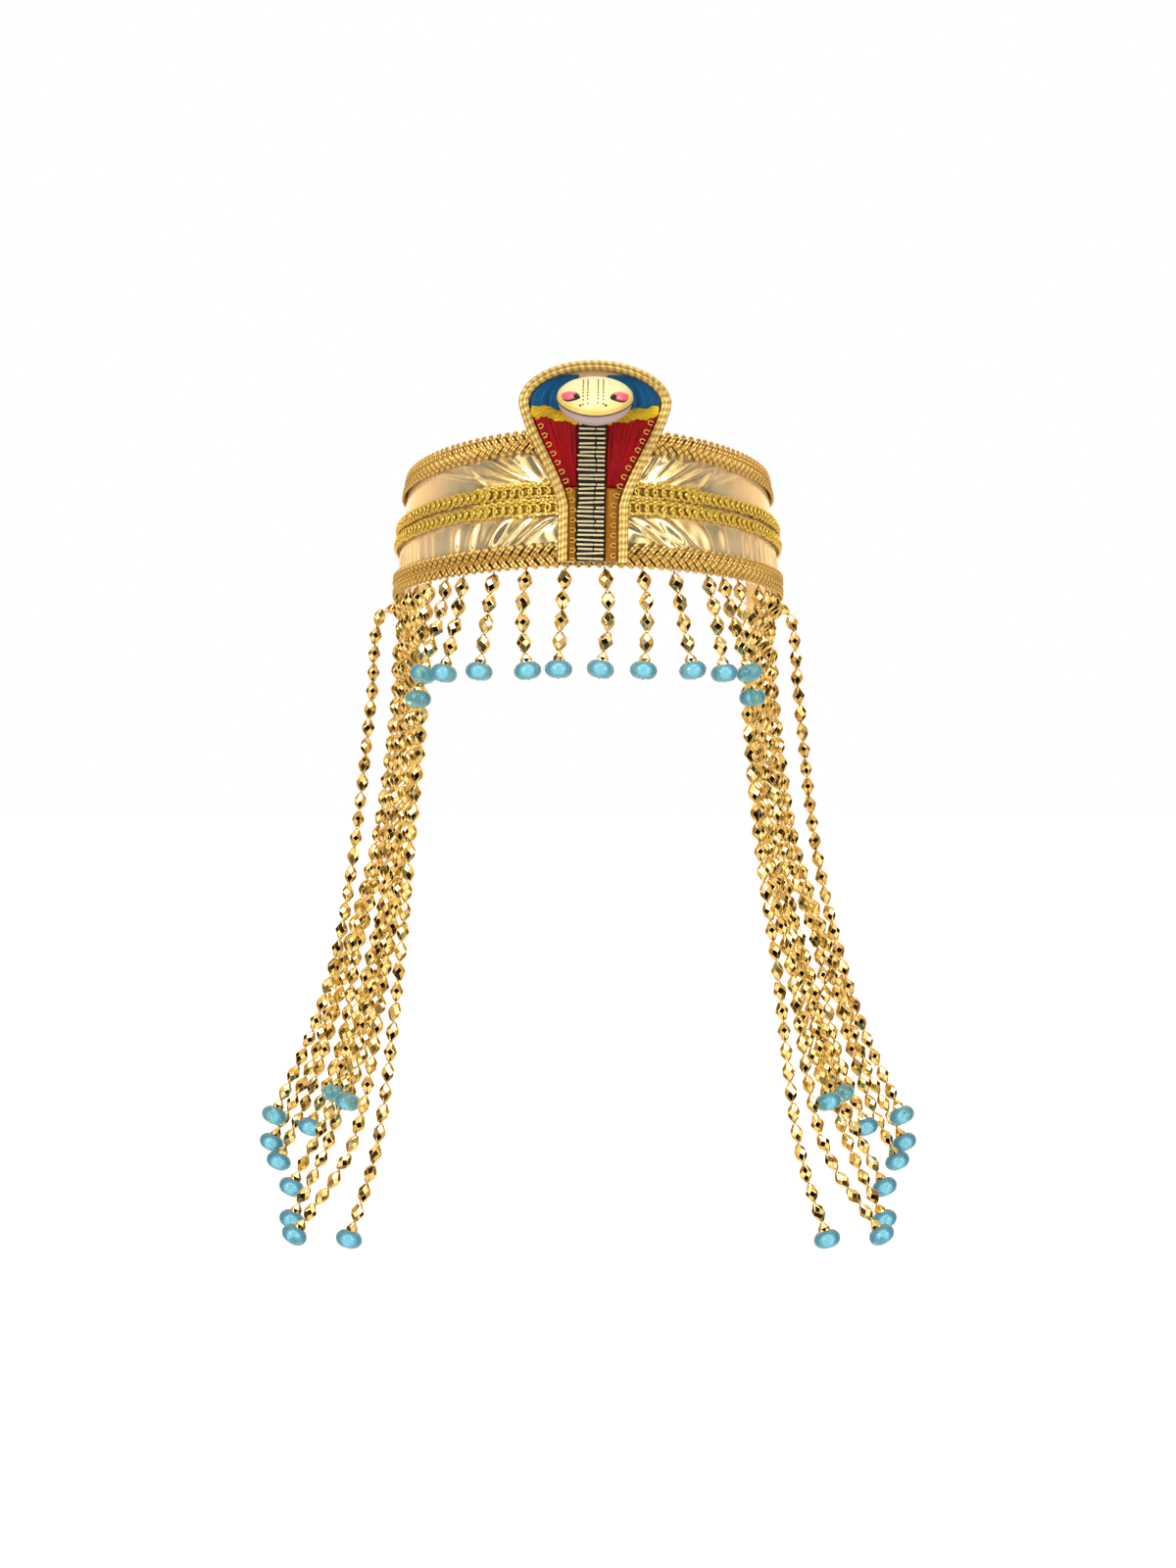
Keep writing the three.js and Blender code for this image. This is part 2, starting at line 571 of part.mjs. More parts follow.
for (const [side, sign, tuck] of [["left", -1, 0], ["right", 1, RIGHT_TUCK]]) {
  rows(STRAND_COLUMNS, STRANDS).forEach((row, index) => {
    const angle = solveAngle((p) => p.y > row.seatY, 0, Math.PI);
    const seat = bandPoint(angle, 0, -SEAT_DROP, SEAT_OUT);
    const stops = [
      [seat.x, seat.z - STRAND_LEAD],
      [row.earX - tuck, row.earZ],
      [row.neckX - tuck, NECK_Z],
      [row.waistX - tuck, WAIST_Z],
      [row.flareX, FLARE_Z],
      [row.hemX, row.tipZ + HEM_RISE],
      [row.tipX, row.tipZ],
    ];
    const route = [seat];
    for (const [x, z] of stops) {
      const fallen = THREE.MathUtils.smoothstep(-z, 0, STRAND_FALL);
      route.push(new THREE.Vector3(x, seat.y - STRAND_FORWARD * fallen, z));
    }
    const curve = new THREE.CatmullRomCurve3(route.map((p) => new THREE.Vector3(sign * p.x, p.y, p.z)));
    const tube = new THREE.ExtrudeGeometry(strandSection, { extrudePath: curve, steps: STRAND_STEPS });
    const down = new THREE.Vector3(0, 0, -1);
    const turn = new THREE.Quaternion().setFromUnitVectors(down, curve.getTangent(1));
    const end = curve.getPoint(1);
    const drop = dropGeometry().translate(0, 0, DROP_SINK).applyQuaternion(turn);
    drop.translate(end.x, end.y, end.z);
    const string = toGeometry(toSolid(tube).add(toSolid(drop)));
    addPiece(`strand_${side}_${String(index + 1).padStart(2, "0")}`, string, goldBead);
  });
}

export default group;
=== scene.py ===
import math

import bmesh
import bpy
import numpy as np
from mathutils import Matrix, Vector


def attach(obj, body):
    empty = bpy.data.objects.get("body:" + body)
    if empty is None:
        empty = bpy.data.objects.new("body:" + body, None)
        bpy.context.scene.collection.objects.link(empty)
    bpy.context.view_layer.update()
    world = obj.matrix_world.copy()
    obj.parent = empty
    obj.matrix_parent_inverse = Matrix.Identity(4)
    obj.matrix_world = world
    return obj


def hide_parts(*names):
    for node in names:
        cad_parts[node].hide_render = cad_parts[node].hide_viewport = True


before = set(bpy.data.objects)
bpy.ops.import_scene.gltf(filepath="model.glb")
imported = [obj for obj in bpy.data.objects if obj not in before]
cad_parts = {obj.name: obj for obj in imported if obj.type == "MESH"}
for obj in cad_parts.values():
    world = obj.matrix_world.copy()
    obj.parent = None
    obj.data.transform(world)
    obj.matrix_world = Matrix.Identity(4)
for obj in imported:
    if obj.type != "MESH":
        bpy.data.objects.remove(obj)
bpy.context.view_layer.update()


# Camera and studio. The headpiece is seen level, from straight in front and a little below the band,
# at 1.2 m. A white room gives the soft light, with dark cloth between the soft boxes, so that polished
# facets show black beside gold, as they do in any photograph of jewellery.
FOCAL_PX = 2655  # focal length in pixels of a picture 1600 pixels high
PICTURE_HEIGHT_PX = 1600
CAMERA_PLACE = (0.0, -1.2, -0.0868)
FLOOR_Z = -0.42

camera = bpy.data.objects.new("camera", bpy.data.cameras.new("camera"))
camera.data.sensor_fit = "VERTICAL"
camera.data.sensor_height = 36.0
camera.data.lens = 36.0 * FOCAL_PX / PICTURE_HEIGHT_PX
camera.location = CAMERA_PLACE
camera.rotation_euler = (math.radians(90), 0, 0)
bpy.context.collection.objects.link(camera)
bpy.context.scene.camera = camera
bpy.context.scene.view_settings.view_transform = "Standard"


def linear(colour):
    """An sRGB hex colour as linear red, green, blue and alpha."""
    values = [int(colour[i : i + 2], 16) / 255 for i in (1, 3, 5)]
    return [v / 12.92 if v <= 0.04045 else ((v + 0.055) / 1.055) ** 2.4 for v in values] + [1.0]


def set_inputs(tree, node, inputs):
    """Sets inputs of a node; each is a value or the output of another node."""
    for socket, value in inputs.items():
        if isinstance(value, bpy.types.NodeSocket):
            tree.links.new(value, node.inputs[socket])
        else:
            node.inputs[socket].default_value = value


def add_node(tree, kind, inputs=None, **settings):
    """Adds a node with its settings and inputs."""
    made = tree.nodes.new(kind)
    for name, value in settings.items():
        setattr(made, name, value)
    set_inputs(tree, made, inputs or {})
    return made


room = bpy.data.worlds.new("white_room")
room.use_nodes = True
bpy.context.scene.world = room
tree = room.node_tree
tree.nodes.clear()
# What polished gold mirrors of the studio, by the angle from the way to the camera, in degrees
MIRRORED_ROOM = [
    (0, "#fff3da"),
    (60, "#fff3da"),
    (75, "#c09a54"),
    (92, "#3a2810"),
    (106, "#1c1206"),
    (125, "#96763a"),
    (150, "#e4c88c"),
    (180, "#f2e0b8"),
]
# Where soft boxes stand between the dark cloths, by the same angle: black is cloth, white is light
DARK_CLOTHS = [
    (0, "#000000"),
    (21, "#000000"),
    (25, "#ffffff"),
    (40, "#ffffff"),
    (43, "#000000"),
    (53, "#000000"),
    (56, "#ffffff"),
    (180, "#ffffff"),
]
# What clear glass shows of it, by how straight the way leads to one of the four walls
SEEN_THROUGH = [
    (0.0, "#04222e"),
    (0.8, "#043648"),
    (0.91, "#1c7f98"),
    (0.965, "#fafeff"),
    (1.0, "#dcf2f8"),
]
CEILING_COLOUR = "#ecd4a0"
CEILING_FROM = 0.55  # height of a way, where level is 0 and upright is 1
CEILING_FULL = 0.85
CEILING_SHARE = 0.7
CLOTH_COLOUR = "#080603"
ROOM_GLOW = 1.6
GLASS_GLOW = 1.5
CAST_GLOW = 0.6
way = add_node(tree, "ShaderNodeTexCoord")
split = add_node(tree, "ShaderNodeSeparateXYZ", {0: way.outputs["Generated"]})
sideways, deep, level = (
    add_node(tree, "ShaderNodeMath", {0: split.outputs[axis]}, operation="ABSOLUTE") for axis in "XYZ"
)
ahead = add_node(tree, "ShaderNodeMath", {0: split.outputs["Y"], 1: -1.0}, operation="MULTIPLY")
turn = add_node(tree, "ShaderNodeMath", {0: sideways.outputs[0], 1: ahead.outputs[0]}, operation="ARCTAN2")
share = add_node(tree, "ShaderNodeMath", {0: turn.outputs[0], 1: math.pi}, operation="DIVIDE")
straight = add_node(tree, "ShaderNodeMath", {0: sideways.outputs[0], 1: deep.outputs[0]}, operation="MAXIMUM")
ramps = []
scales = ((share, MIRRORED_ROOM, 180), (share, DARK_CLOTHS, 180), (straight, SEEN_THROUGH, 1))
for factor, stops, span in scales:
    ramp = add_node(tree, "ShaderNodeValToRGB", {0: factor.outputs[0]})
    elements = ramp.color_ramp.elements
    for place, colour in stops:
        elements.new(place / span).color = linear(colour)
    elements.remove(elements[0])
    elements.remove(elements[-1])
    ramps.append(ramp.outputs["Color"])
room_colour, cloths, behind_glass = ramps
far_up = add_node(
    tree,
    "ShaderNodeMapRange",
    {"Value": level.outputs[0], "From Min": CEILING_FROM, "From Max": CEILING_FULL, "To Max": CEILING_SHARE},
)
with_ceiling = add_node(
    tree,
    "ShaderNodeMix",
    {"Factor": far_up.outputs[0], "A": room_colour, "B": linear(CEILING_COLOUR)},
    data_type="RGBA",
)
with_cloths = add_node(
    tree,
    "ShaderNodeMix",
    {"Factor": cloths, "A": linear(CLOTH_COLOUR), "B": with_ceiling.outputs["Result"]},
    data_type="RGBA",
)
seen, cast, through_glass, mirrored = (
    add_node(tree, "ShaderNodeBackground", {"Color": colour, "Strength": glow})
    for colour, glow in (
        (linear("#ffffff"), 1.0),
        (linear("#fbf7f0"), CAST_GLOW),
        (behind_glass, GLASS_GLOW),
        (with_cloths.outputs["Result"], ROOM_GLOW),
    )
)
ray = add_node(tree, "ShaderNodeLightPath")
whole = cast
for kind, room_light in (("Glossy", mirrored), ("Transmission", through_glass), ("Camera", seen)):
    whole = add_node(
        tree,
        "ShaderNodeMixShader",
        {0: ray.outputs[f"Is {kind} Ray"], 1: whole.outputs[0], 2: room_light.outputs[0]},
    )
add_node(tree, "ShaderNodeOutputWorld", {"Surface": whole.outputs[0]})

# name, place, point that it faces, width, height, watts
SOFT_BOXES = [
    ("soft_box_left", (-1.1, -1.5, 0.7), (0, 0, -0.05), 0.8, 0.9, 15),
    ("soft_box_right", (1.3, -1.3, 0.35), (0, 0, -0.05), 0.6, 0.9, 8),
    ("soft_box_above", (0.1, -0.9, 1.5), (0, 0, 0), 1.2, 0.8, 12),
]
for name, place, faces, width, height, watts in SOFT_BOXES:
    lamp = bpy.data.lights.new(name, "AREA")
    lamp.shape = "RECTANGLE"
    lamp.size, lamp.size_y, lamp.energy = width, height, watts
    box = bpy.data.objects.new(name, lamp)
    aim = Vector(place) - Vector(faces)
    box.matrix_world = Matrix.Translation(place) @ aim.to_track_quat("Z", "Y").to_matrix().to_4x4()
    bpy.context.collection.objects.link(box)


def new_material(name):
    """A material with its plain shader; returns the material, its tree and the shader."""
    made = bpy.data.materials.new(name)
    made.use_nodes = True
    return made, made.node_tree, made.node_tree.nodes["Principled BSDF"]


FLOOR_HALF = 30.0
FLOOR_COLOUR = "#fdfdfd"
FLOOR_GLOW = 0.6  # keeps it as pale as the room
floor_paint, tree, shader = new_material("matt_white_paint")
set_inputs(tree, shader, {"Base Color": linear(FLOOR_COLOUR), "Roughness": 0.9})
set_inputs(tree, shader, {"Emission Color": linear(FLOOR_COLOUR), "Emission Strength": FLOOR_GLOW})
floor_corners = [(x * FLOOR_HALF, y * FLOOR_HALF, FLOOR_Z) for x, y in ((-1, -1), (1, -1), (1, 1), (-1, 1))]
floor_mesh = bpy.data.meshes.new("floor")
floor_mesh.from_pydata(floor_corners, [], [(0, 1, 2, 3)])
floor_mesh.materials.append(floor_paint)
floor = bpy.data.objects.new("floor", floor_mesh)
bpy.context.collection.objects.link(floor)
floor.visible_glossy = False  # the mirrored room reaches under it
floor.visible_transmission = False


# Lamé band. Gold lamé, a cloth woven with flat metal foil, is gathered over a stiff strip and sewn down
# under the braids, so it lies smooth at the sides, pulls into slanting folds beside the cobra and
# puckers under the middle braid. The strip is open at the nape.
GAP = 0.3
BAND_HALF_WIDTH = 88.0
BAND_WIDEST_Y = 10.0
BAND_FRONT_REACH = 112.0
BAND_BACK_REACH = 97.0
BAND_FRONT_ROUNDNESS = 1.85
BAND_HEIGHT = 54.2
BAND_HEIGHT_SLOPE = -0.043
BAND_RIM_SLOPE = -0.053
BAND_LEAN = 6.2
BAND_WALL = 2.5
BAND_END_Y = 54.0
EDGE_BRAID_WIDTH = 8.8
MIDDLE_BRAID_WIDTH = 7.4
MIDDLE_BRAID_SHARE = 0.5
LAME_STEP = 0.45  # between neighbouring points along the band
LAME_ROWS = 100
LINING_ROWS = 6
PUCKER_PITCH = 7.5
PUCKER_LIFT = 0.42
PUCKER_FROM = 35.0  # along the band; the puckers are full at 75
PUCKER_RUN = 40.0
CRINKLE_LIFT = 0.05
CRINKLE_RUN = 75.0
FOLD_FADE = 0.7  # how fast a fold dies out at the braids
FOLD_DIP = 0.35  # depth of the furrow beside a fold

FOLD_COLUMNS = ("arc", "zone", "slant", "width", "lift")
FOLDS = [
    (-17, 0, 0, 13, 2.6),
    (17, 0, 0, 13, 2.6),
    (-22, 1, -36, 2.8, 2.2),
    (-31, 1, -50, 1.9, 0.9),
    (-39, 1, -62, 3.4, 2.5),
    (-50, 1, -70, 2.4, 1.5),
    (-58, 1, -52, 2.0, 0.8),
    (-66, 1, -74, 5.0, 1.2),
    (26, 1, 38, 3.0, 2.2),
    (35, 1, 48, 1.9, 0.9),
    (44, 1, 60, 3.6, 2.1),
    (55, 1, 66, 2.4, 1.4),
    (63, 1, 48, 2.0, 0.7),
    (70, 1, 70, 5.4, 1.1),
    (-24, 0, 56, 2.8, 2.0),
    (-33, 0, 50, 1.9, 1.0),
    (-43, 0, 38, 3.2, 2.0),
    (-57, 0, 16, 2.6, 1.3),
    (-68, 0, 4, 2.4, 1.0),
    (-82, 0, -8, 3.6, 0.8),
    (-98, 0, 5, 5.0, 0.8),
    (23, 0, -60, 2.8, 2.1),
    (32, 0, -62, 1.9, 1.0),
    (42, 0, -54, 3.6, 2.1),
    (58, 0, -28, 3.2, 1.3),
    (71, 0, -12, 2.4, 0.9),
    (83, 0, -2, 3.8, 0.8),
    (97, 0, 6, 5.0, 0.8),
]


def band_outline(angle, inset):
    """The band seen from above, in millimetres; angle 0 is the forehead."""
    front = np.cos(angle) > 0
    reach = np.where(front, BAND_FRONT_REACH, BAND_BACK_REACH) - inset
    power = 2 / np.where(front, BAND_FRONT_ROUNDNESS, 2.0)
    x = (BAND_HALF_WIDTH - inset) * np.sign(np.sin(angle)) * np.abs(np.sin(angle)) ** power
    y = BAND_WIDEST_Y - reach * np.sign(np.cos(angle)) * np.abs(np.cos(angle)) ** power
    return x, y


def run_of(line):
    """Distances along a line of points from its first point."""
    return np.concatenate([[0], np.cumsum(np.linalg.norm(np.diff(line, axis=0), axis=1))])


def unit(vectors):
    """Rows of directions, each made one long."""
    return vectors / np.linalg.norm(vectors, axis=1, keepdims=True)


RIM_STEPS = 8000
FOREHEAD = RIM_STEPS // 2  # number of the rim's point there
turns = np.linspace(-math.pi, math.pi, RIM_STEPS + 1)
rim_x, rim_y = band_outline(turns, 0)
rim_arcs = run_of(np.column_stack([rim_x, rim_y]))
rim_arcs -= np.interp(0, turns, rim_arcs)


def side_arc(y):
    """The place along the rim at which its right side reaches y."""
    return np.interp(y, rim_y[FOREHEAD:], rim_arcs[FOREHEAD:])


arc_end = float(side_arc(BAND_END_Y))


def on_band(arc, share, rise, out):
    """A point on the band: arc runs along the rim from the forehead, share from the lower rim to the
    upper, rise adds millimetres to it and out is the distance in front of the lamé."""
    angle = np.interp(arc, rim_arcs, turns)
    _, seat_y = band_outline(angle, 0)
    height = BAND_HEIGHT + BAND_HEIGHT_SLOPE * seat_y
    level = share + rise / height
    x, y = band_outline(angle, BAND_LEAN * level**2 - out)
    return np.stack(np.broadcast_arrays(x, y, BAND_RIM_SLOPE * seat_y + level * height), axis=-1)


def lame_lift(arc, height, full_height):
    """How far the lamé stands off its strip, from the two bare zones between the braids."""
    middle = MIDDLE_BRAID_SHARE * full_height
    zones = [
        (EDGE_BRAID_WIDTH, middle - MIDDLE_BRAID_WIDTH),
        (middle + MIDDLE_BRAID_WIDTH, full_height - EDGE_BRAID_WIDTH),
    ]
    lift = np.zeros_like(arc)
    for index, (low, high) in enumerate(zones):
        level = np.clip((height - low) / (high - low), 0, 1)
        fade = np.sin(np.pi * level) ** FOLD_FADE
        for fold in (dict(zip(FOLD_COLUMNS, row)) for row in FOLDS):
            if fold["zone"] != index:
                continue
            along = height - (low + high) / 2
            across = (arc - fold["arc"] - along * math.tan(math.radians(fold["slant"]))) / fold["width"]
            ridge = np.exp(-(across**2)) - FOLD_DIP * np.exp(-(((across - 1.3) / 0.5) ** 2))
            lift += fade * fold["lift"] * ridge
        wave = np.sin(2 * np.pi * arc / PUCKER_PITCH + 0.1 * height + 1.7 * np.sin(arc / 17))
        wave = wave * (0.6 + 0.4 * np.sin(arc / 7.3 + 1))
        away = np.clip((np.abs(arc) - PUCKER_FROM) / PUCKER_RUN, 0, 1)
        lift += (1 - index) * fade * PUCKER_LIFT * wave * away
        crinkle = np.sin(0.55 * arc + 0.9 * height + 2 * np.sin(0.17 * arc))
        crinkle = crinkle * np.sin(0.23 * arc - 0.6 * height)
        lift += fade * CRINKLE_LIFT * crinkle * np.exp(-((arc / CRINKLE_RUN) ** 2))
    return lift


def grid_faces(rows, columns, closed=False):
    """Quads of a grid of points whose second direction may close on itself."""
    across = np.arange(columns if closed else columns - 1)
    i, j = np.meshgrid(np.arange(rows - 1), across, indexing="ij")
    k = (j + 1) % columns
    row, following = i * columns, (i + 1) * columns
    return np.stack([row + j, following + j, following + k, row + k], axis=-1).reshape(-1, 4)


def grid_uv(along, around):
    """Corner coordinates of the same quads, from the places of the rows and of the column edges."""
    i, j = np.meshgrid(np.arange(len(along) - 1), np.arange(len(around) - 1), indexing="ij")
    u = along[np.stack([i, i + 1, i + 1, i], axis=-1)]
    v = around[np.stack([j, j, j + 1, j + 1], axis=-1)]
    return np.stack([u, v], axis=-1).reshape(-1, 4, 2)


def closed_strip(points, along, around):
    """Parts of a strip whose section closes on itself, with both its ends."""
    rows, columns, _ = points.shape
    faces = grid_faces(rows, columns, closed=True)[:, ::-1]
    first = np.arange(columns)[None, :]
    last = first + (rows - 1) * columns
    return [
        (points.reshape(-1, 3), faces, grid_uv(along, around)[:, ::-1], 0),
        (None, first, None, 0),
        (None, last[:, ::-1], None, 0),
    ]


MM = 0.001


def make_piece(name, parts, materials, nodes=(), smooth=True):
    """Joins parts, each points in millimetres, faces, corner coordinates and a material number, into
    one object that rides on the headpiece and stands for the named solids. A part without points uses
    those of the part before it."""
    firsts, places, first = [], [], 0
    for points, _, _, _ in parts:
        if points is not None:
            first = sum(map(len, places))
            places.append(points)
        firsts.append(first)
    mesh = bpy.data.meshes.new(name)
    places = np.concatenate(places) * MM
    corners = np.concatenate([(faces + first).ravel() for (_, faces, _, _), first in zip(parts, firsts)])
    sizes = np.concatenate([np.full(len(faces), faces.shape[1]) for _, faces, _, _ in parts])
    numbers = np.concatenate([np.full(len(faces), number) for _, faces, _, number in parts])
    spread = np.concatenate(
        [np.zeros((faces.size, 2)) if uv is None else uv.reshape(-1, 2) for _, faces, uv, _ in parts]
    )
    mesh.vertices.add(len(places))
    mesh.vertices.foreach_set("co", places.ravel().astype(np.float32))
    mesh.loops.add(len(corners))
    mesh.loops.foreach_set("vertex_index", corners.astype(np.int32))
    mesh.polygons.add(len(sizes))
    mesh.polygons.foreach_set("loop_start", np.concatenate([[0], np.cumsum(sizes)[:-1]]).astype(np.int32))
    mesh.polygons.foreach_set("material_index", numbers.astype(np.int32))
    mesh.polygons.foreach_set("use_smooth", np.full(len(sizes), smooth))
    mesh.uv_layers.new(name="millimetres").data.foreach_set("uv", spread.ravel().astype(np.float32))
    mesh.update(calc_edges=True)
    for material in materials:
        mesh.materials.append(material)
    made = bpy.data.objects.new(name, mesh)
    bpy.context.collection.objects.link(made)
    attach(made, "root")
    if nodes:
        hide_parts(*nodes)
    return made


# Gold lamé: foil-wrapped threads in a plain weave, so it shines like soft metal. Its tint is painted light,
# set by the place along the band: pale cream towards the cobra, a painted highlight that whitens its
# reflections there, turning to peach towards the sides. The threads lie 0.25 mm apart, drawn twice as
# coarse so that they show.
LAME_THREAD = 0.5
PEACH_FROM = 70.0  # along the band
PEACH_FULL = 125.0
TINT_RAGGED = 60.0
WAVE_PERIOD = 0.314  # of the wave pattern at scale 1
lame, tree, shader = new_material("gold_lame_woven_foil")
uv = add_node(tree, "ShaderNodeUVMap", uv_map="millimetres")
split = add_node(tree, "ShaderNodeSeparateXYZ", {0: uv.outputs[0]})
sideways = add_node(tree, "ShaderNodeMath", {0: split.outputs["X"]}, operation="ABSOLUTE")
mottle = add_node(tree, "ShaderNodeTexNoise", {"Vector": uv.outputs[0], "Scale": 0.07, "Detail": 3.0})
shifted = add_node(
    tree,
    "ShaderNodeMath",
    {0: mottle.outputs["Fac"], 1: TINT_RAGGED, 2: sideways.outputs[0]},
    operation="MULTIPLY_ADD",
)
# Painted light: the tint runs from pale cream near the cobra to peach at the sides.
painted_light_to_side = add_node(
    tree, "ShaderNodeMapRange", {"Value": shifted.outputs[0], "From Min": PEACH_FROM, "From Max": PEACH_FULL}
)
tint = add_node(
    tree,
    "ShaderNodeMix",
    {"Factor": painted_light_to_side.outputs[0], "A": linear("#f9ebc0"), "B": linear("#f2d2a4")},
    data_type="RGBA",
)
foil = add_node(tree, "ShaderNodeMapRange", {"Value": painted_light_to_side.outputs[0], "To Min": 0.85, "To Max": 0.45})
rub = add_node(tree, "ShaderNodeTexNoise", {"Vector": uv.outputs[0], "Scale": 0.22, "Detail": 4.0})
rough = add_node(tree, "ShaderNodeMapRange", {"Value": rub.outputs["Fac"], "To Min": 0.1, "To Max": 0.22})
warp, weft = (
    add_node(
        tree,
        "ShaderNodeTexWave",
        {"Vector": uv.outputs[0], "Scale": WAVE_PERIOD / LAME_THREAD, "Distortion": 0.4},
        bands_direction=direction,
    )
    for direction in "XY"
)
weave = add_node(
    tree, "ShaderNodeMath", {0: warp.outputs["Fac"], 1: weft.outputs["Fac"]}, operation="MULTIPLY"
)
crease = add_node(tree, "ShaderNodeTexNoise", {"Vector": uv.outputs[0], "Scale": 0.2, "Detail": 1.0})
threads = add_node(tree, "ShaderNodeBump", {"Height": weave.outputs[0], "Strength": 0.03, "Distance": 0.0001})
bump = add_node(
    tree,
    "ShaderNodeBump",
    {"Height": crease.outputs["Fac"], "Strength": 0.08, "Distance": 0.001, "Normal": threads.outputs[0]},
)
set_inputs(tree, shader, {"Base Color": tint.outputs["Result"], "Metallic": foil.outputs[0]})
set_inputs(tree, shader, {"Roughness": rough.outputs[0], "Normal": bump.outputs[0]})

arcs = np.arange(-arc_end, arc_end + LAME_STEP / 2, 2 * arc_end / round(2 * arc_end / LAME_STEP))
shares = np.concatenate([np.linspace(0, 1, LAME_ROWS), np.linspace(1, 0, LINING_ROWS)])
outside = np.arange(len(shares)) < LAME_ROWS
arc_grid, share_grid = np.meshgrid(arcs, shares, indexing="ij")
full = BAND_HEIGHT + BAND_HEIGHT_SLOPE * np.interp(arc_grid, rim_arcs, rim_y)
off_strip = np.where(outside, lame_lift(arc_grid, share_grid * full, full), -BAND_WALL)
band_points = on_band(arc_grid, share_grid, 0.0, off_strip)
around = np.concatenate([shares * BAND_HEIGHT, [0]])
around[LAME_ROWS:-1] += 2 * BAND_HEIGHT
band = make_piece("lame_band", closed_strip(band_points, arcs, around), [lame], ["headband"])


# Back strap. A plain strip of the same lamé, turned in and sewn inside both ends of the band, closes
# it behind the head.
STRAP_FROM = 28.0
STRAP_TO = 46.0
STRAP_THICKNESS = 1.5
STRAP_LAP = 16.0
STRAP_EDGE = 0.5  # rounding of its turned edges
STRAP_STEPS = 160
strap_section = [
    (STRAP_FROM + STRAP_EDGE, 0.0),
    (STRAP_TO - STRAP_EDGE, 0.0),
    (STRAP_TO, -STRAP_EDGE),
    (STRAP_TO, STRAP_EDGE - STRAP_THICKNESS),
    (STRAP_TO - STRAP_EDGE, -STRAP_THICKNESS),
    (STRAP_FROM + STRAP_EDGE, -STRAP_THICKNESS),
    (STRAP_FROM, STRAP_EDGE - STRAP_THICKNESS),
    (STRAP_FROM, -STRAP_EDGE),
]
strap_start = float(side_arc(BAND_END_Y - STRAP_LAP))
rim_length = rim_arcs[-1] - rim_arcs[0]
strap_arcs = np.linspace(strap_start, rim_length - strap_start, STRAP_STEPS)
wrapped = np.where(strap_arcs > rim_arcs[-1], strap_arcs - rim_length, strap_arcs)
rises, outs = np.array(strap_section).T
strap_points = on_band(wrapped[:, None], 0.0, rises[None, :], outs[None, :] - BAND_WALL - GAP)
strap_around = run_of(np.array(strap_section + strap_section[:1]))
strap_parts = closed_strip(strap_points, strap_arcs, strap_around)
strap = make_piece("back_strap_cloth", strap_parts, [lame], ["back_strap"])


# Gimp braids. Metallic cords are worked into flat trims and sewn round the band: along each rim a
# wheat-ear braid, whose paired cords slant from its middle to its edges, and over the middle two rows of
# chain links, each tip lying over the tail of the next.
CORD_SIDES = 7
STROKE_PITCH = 4.5  # between neighbouring strokes at one edge
STROKE_CORD = 0.62  # radius
STROKE_REACH = 5.0  # along the band, from the tucked end to the outer end
STROKE_END = 2.5  # from the band's end to the first stroke
STROKE_TUCK = 1.3  # how far a stroke runs past the middle
STROKE_RISE = 1.2  # how far its outer end lies over the tucked ones
STROKE_DIP = 0.5  # how far that end bends back to the band
STROKE_STRAY = 0.15  # how far strokes lie out of step
END_MARGIN = 1.2  # of the band's ends, kept clear of cords
LINK_PITCH = 4.25
LINK_LENGTH = 7.4
LINK_HALF = 2.75
LINK_FRONT_HALF = 2.5  # beside the cobra, where the links lie open
LINK_FRONT_SHIFT = 0.85
LINK_OPEN_TO = 55.0  # where they close up, along the band
LINK_CLOSING = 20.0  # the run over which they do
LINK_FIRST = 2.0  # along the band from the middle
LINK_LAST = 5.0  # from the band's end
LINK_CORD = 0.6  # radius
LINK_SWING = 0.07  # how far the links turn out of line
LINK_GROWTH = 0.04  # how unlike in size they are
LINK_STRAY = 0.18  # how far they lie out of step
LINK_SHIFT = 0.15  # and how far out of row
WAVE_RISE = 2.35  # of the cord that runs over the open links
WAVE_SWING = 0.75
LINK_CORE = 0.6  # size of the inner cord of a link beside the outer one
LINK_RISE = 1.1
LINK_STEPS = 26
TAPE_HALF = 2.6
CORD_TWIST = 1.6  # length of one turn of the thread round its cord


def sweep(path, outward, radius, sides, flat=1.0, material=0):
    """A round cord along a path; outward is the direction that flat thins it in."""
    ahead = unit(np.gradient(path, axis=0))
    side = unit(np.cross(ahead, outward))
    up = np.cross(side, ahead)
    turn = 2 * np.pi * np.arange(sides) / sides
    reach = np.broadcast_to(np.asarray(radius, float), (len(path),))[:, None, None]
    ring = np.cos(turn)[None, :, None] * side[:, None] + flat * np.sin(turn)[None, :, None] * up[:, None]
    points = (path[:, None] + reach * ring).reshape(-1, 3)
    corners = grid_uv(run_of(path), np.arange(sides + 1) / sides)
    return points, grid_faces(len(path), sides, closed=True), corners, material


def band_outward(arc, share):
    return on_band(arc, share, 0.0, 1.0) - on_band(arc, share, 0.0, 0.0)


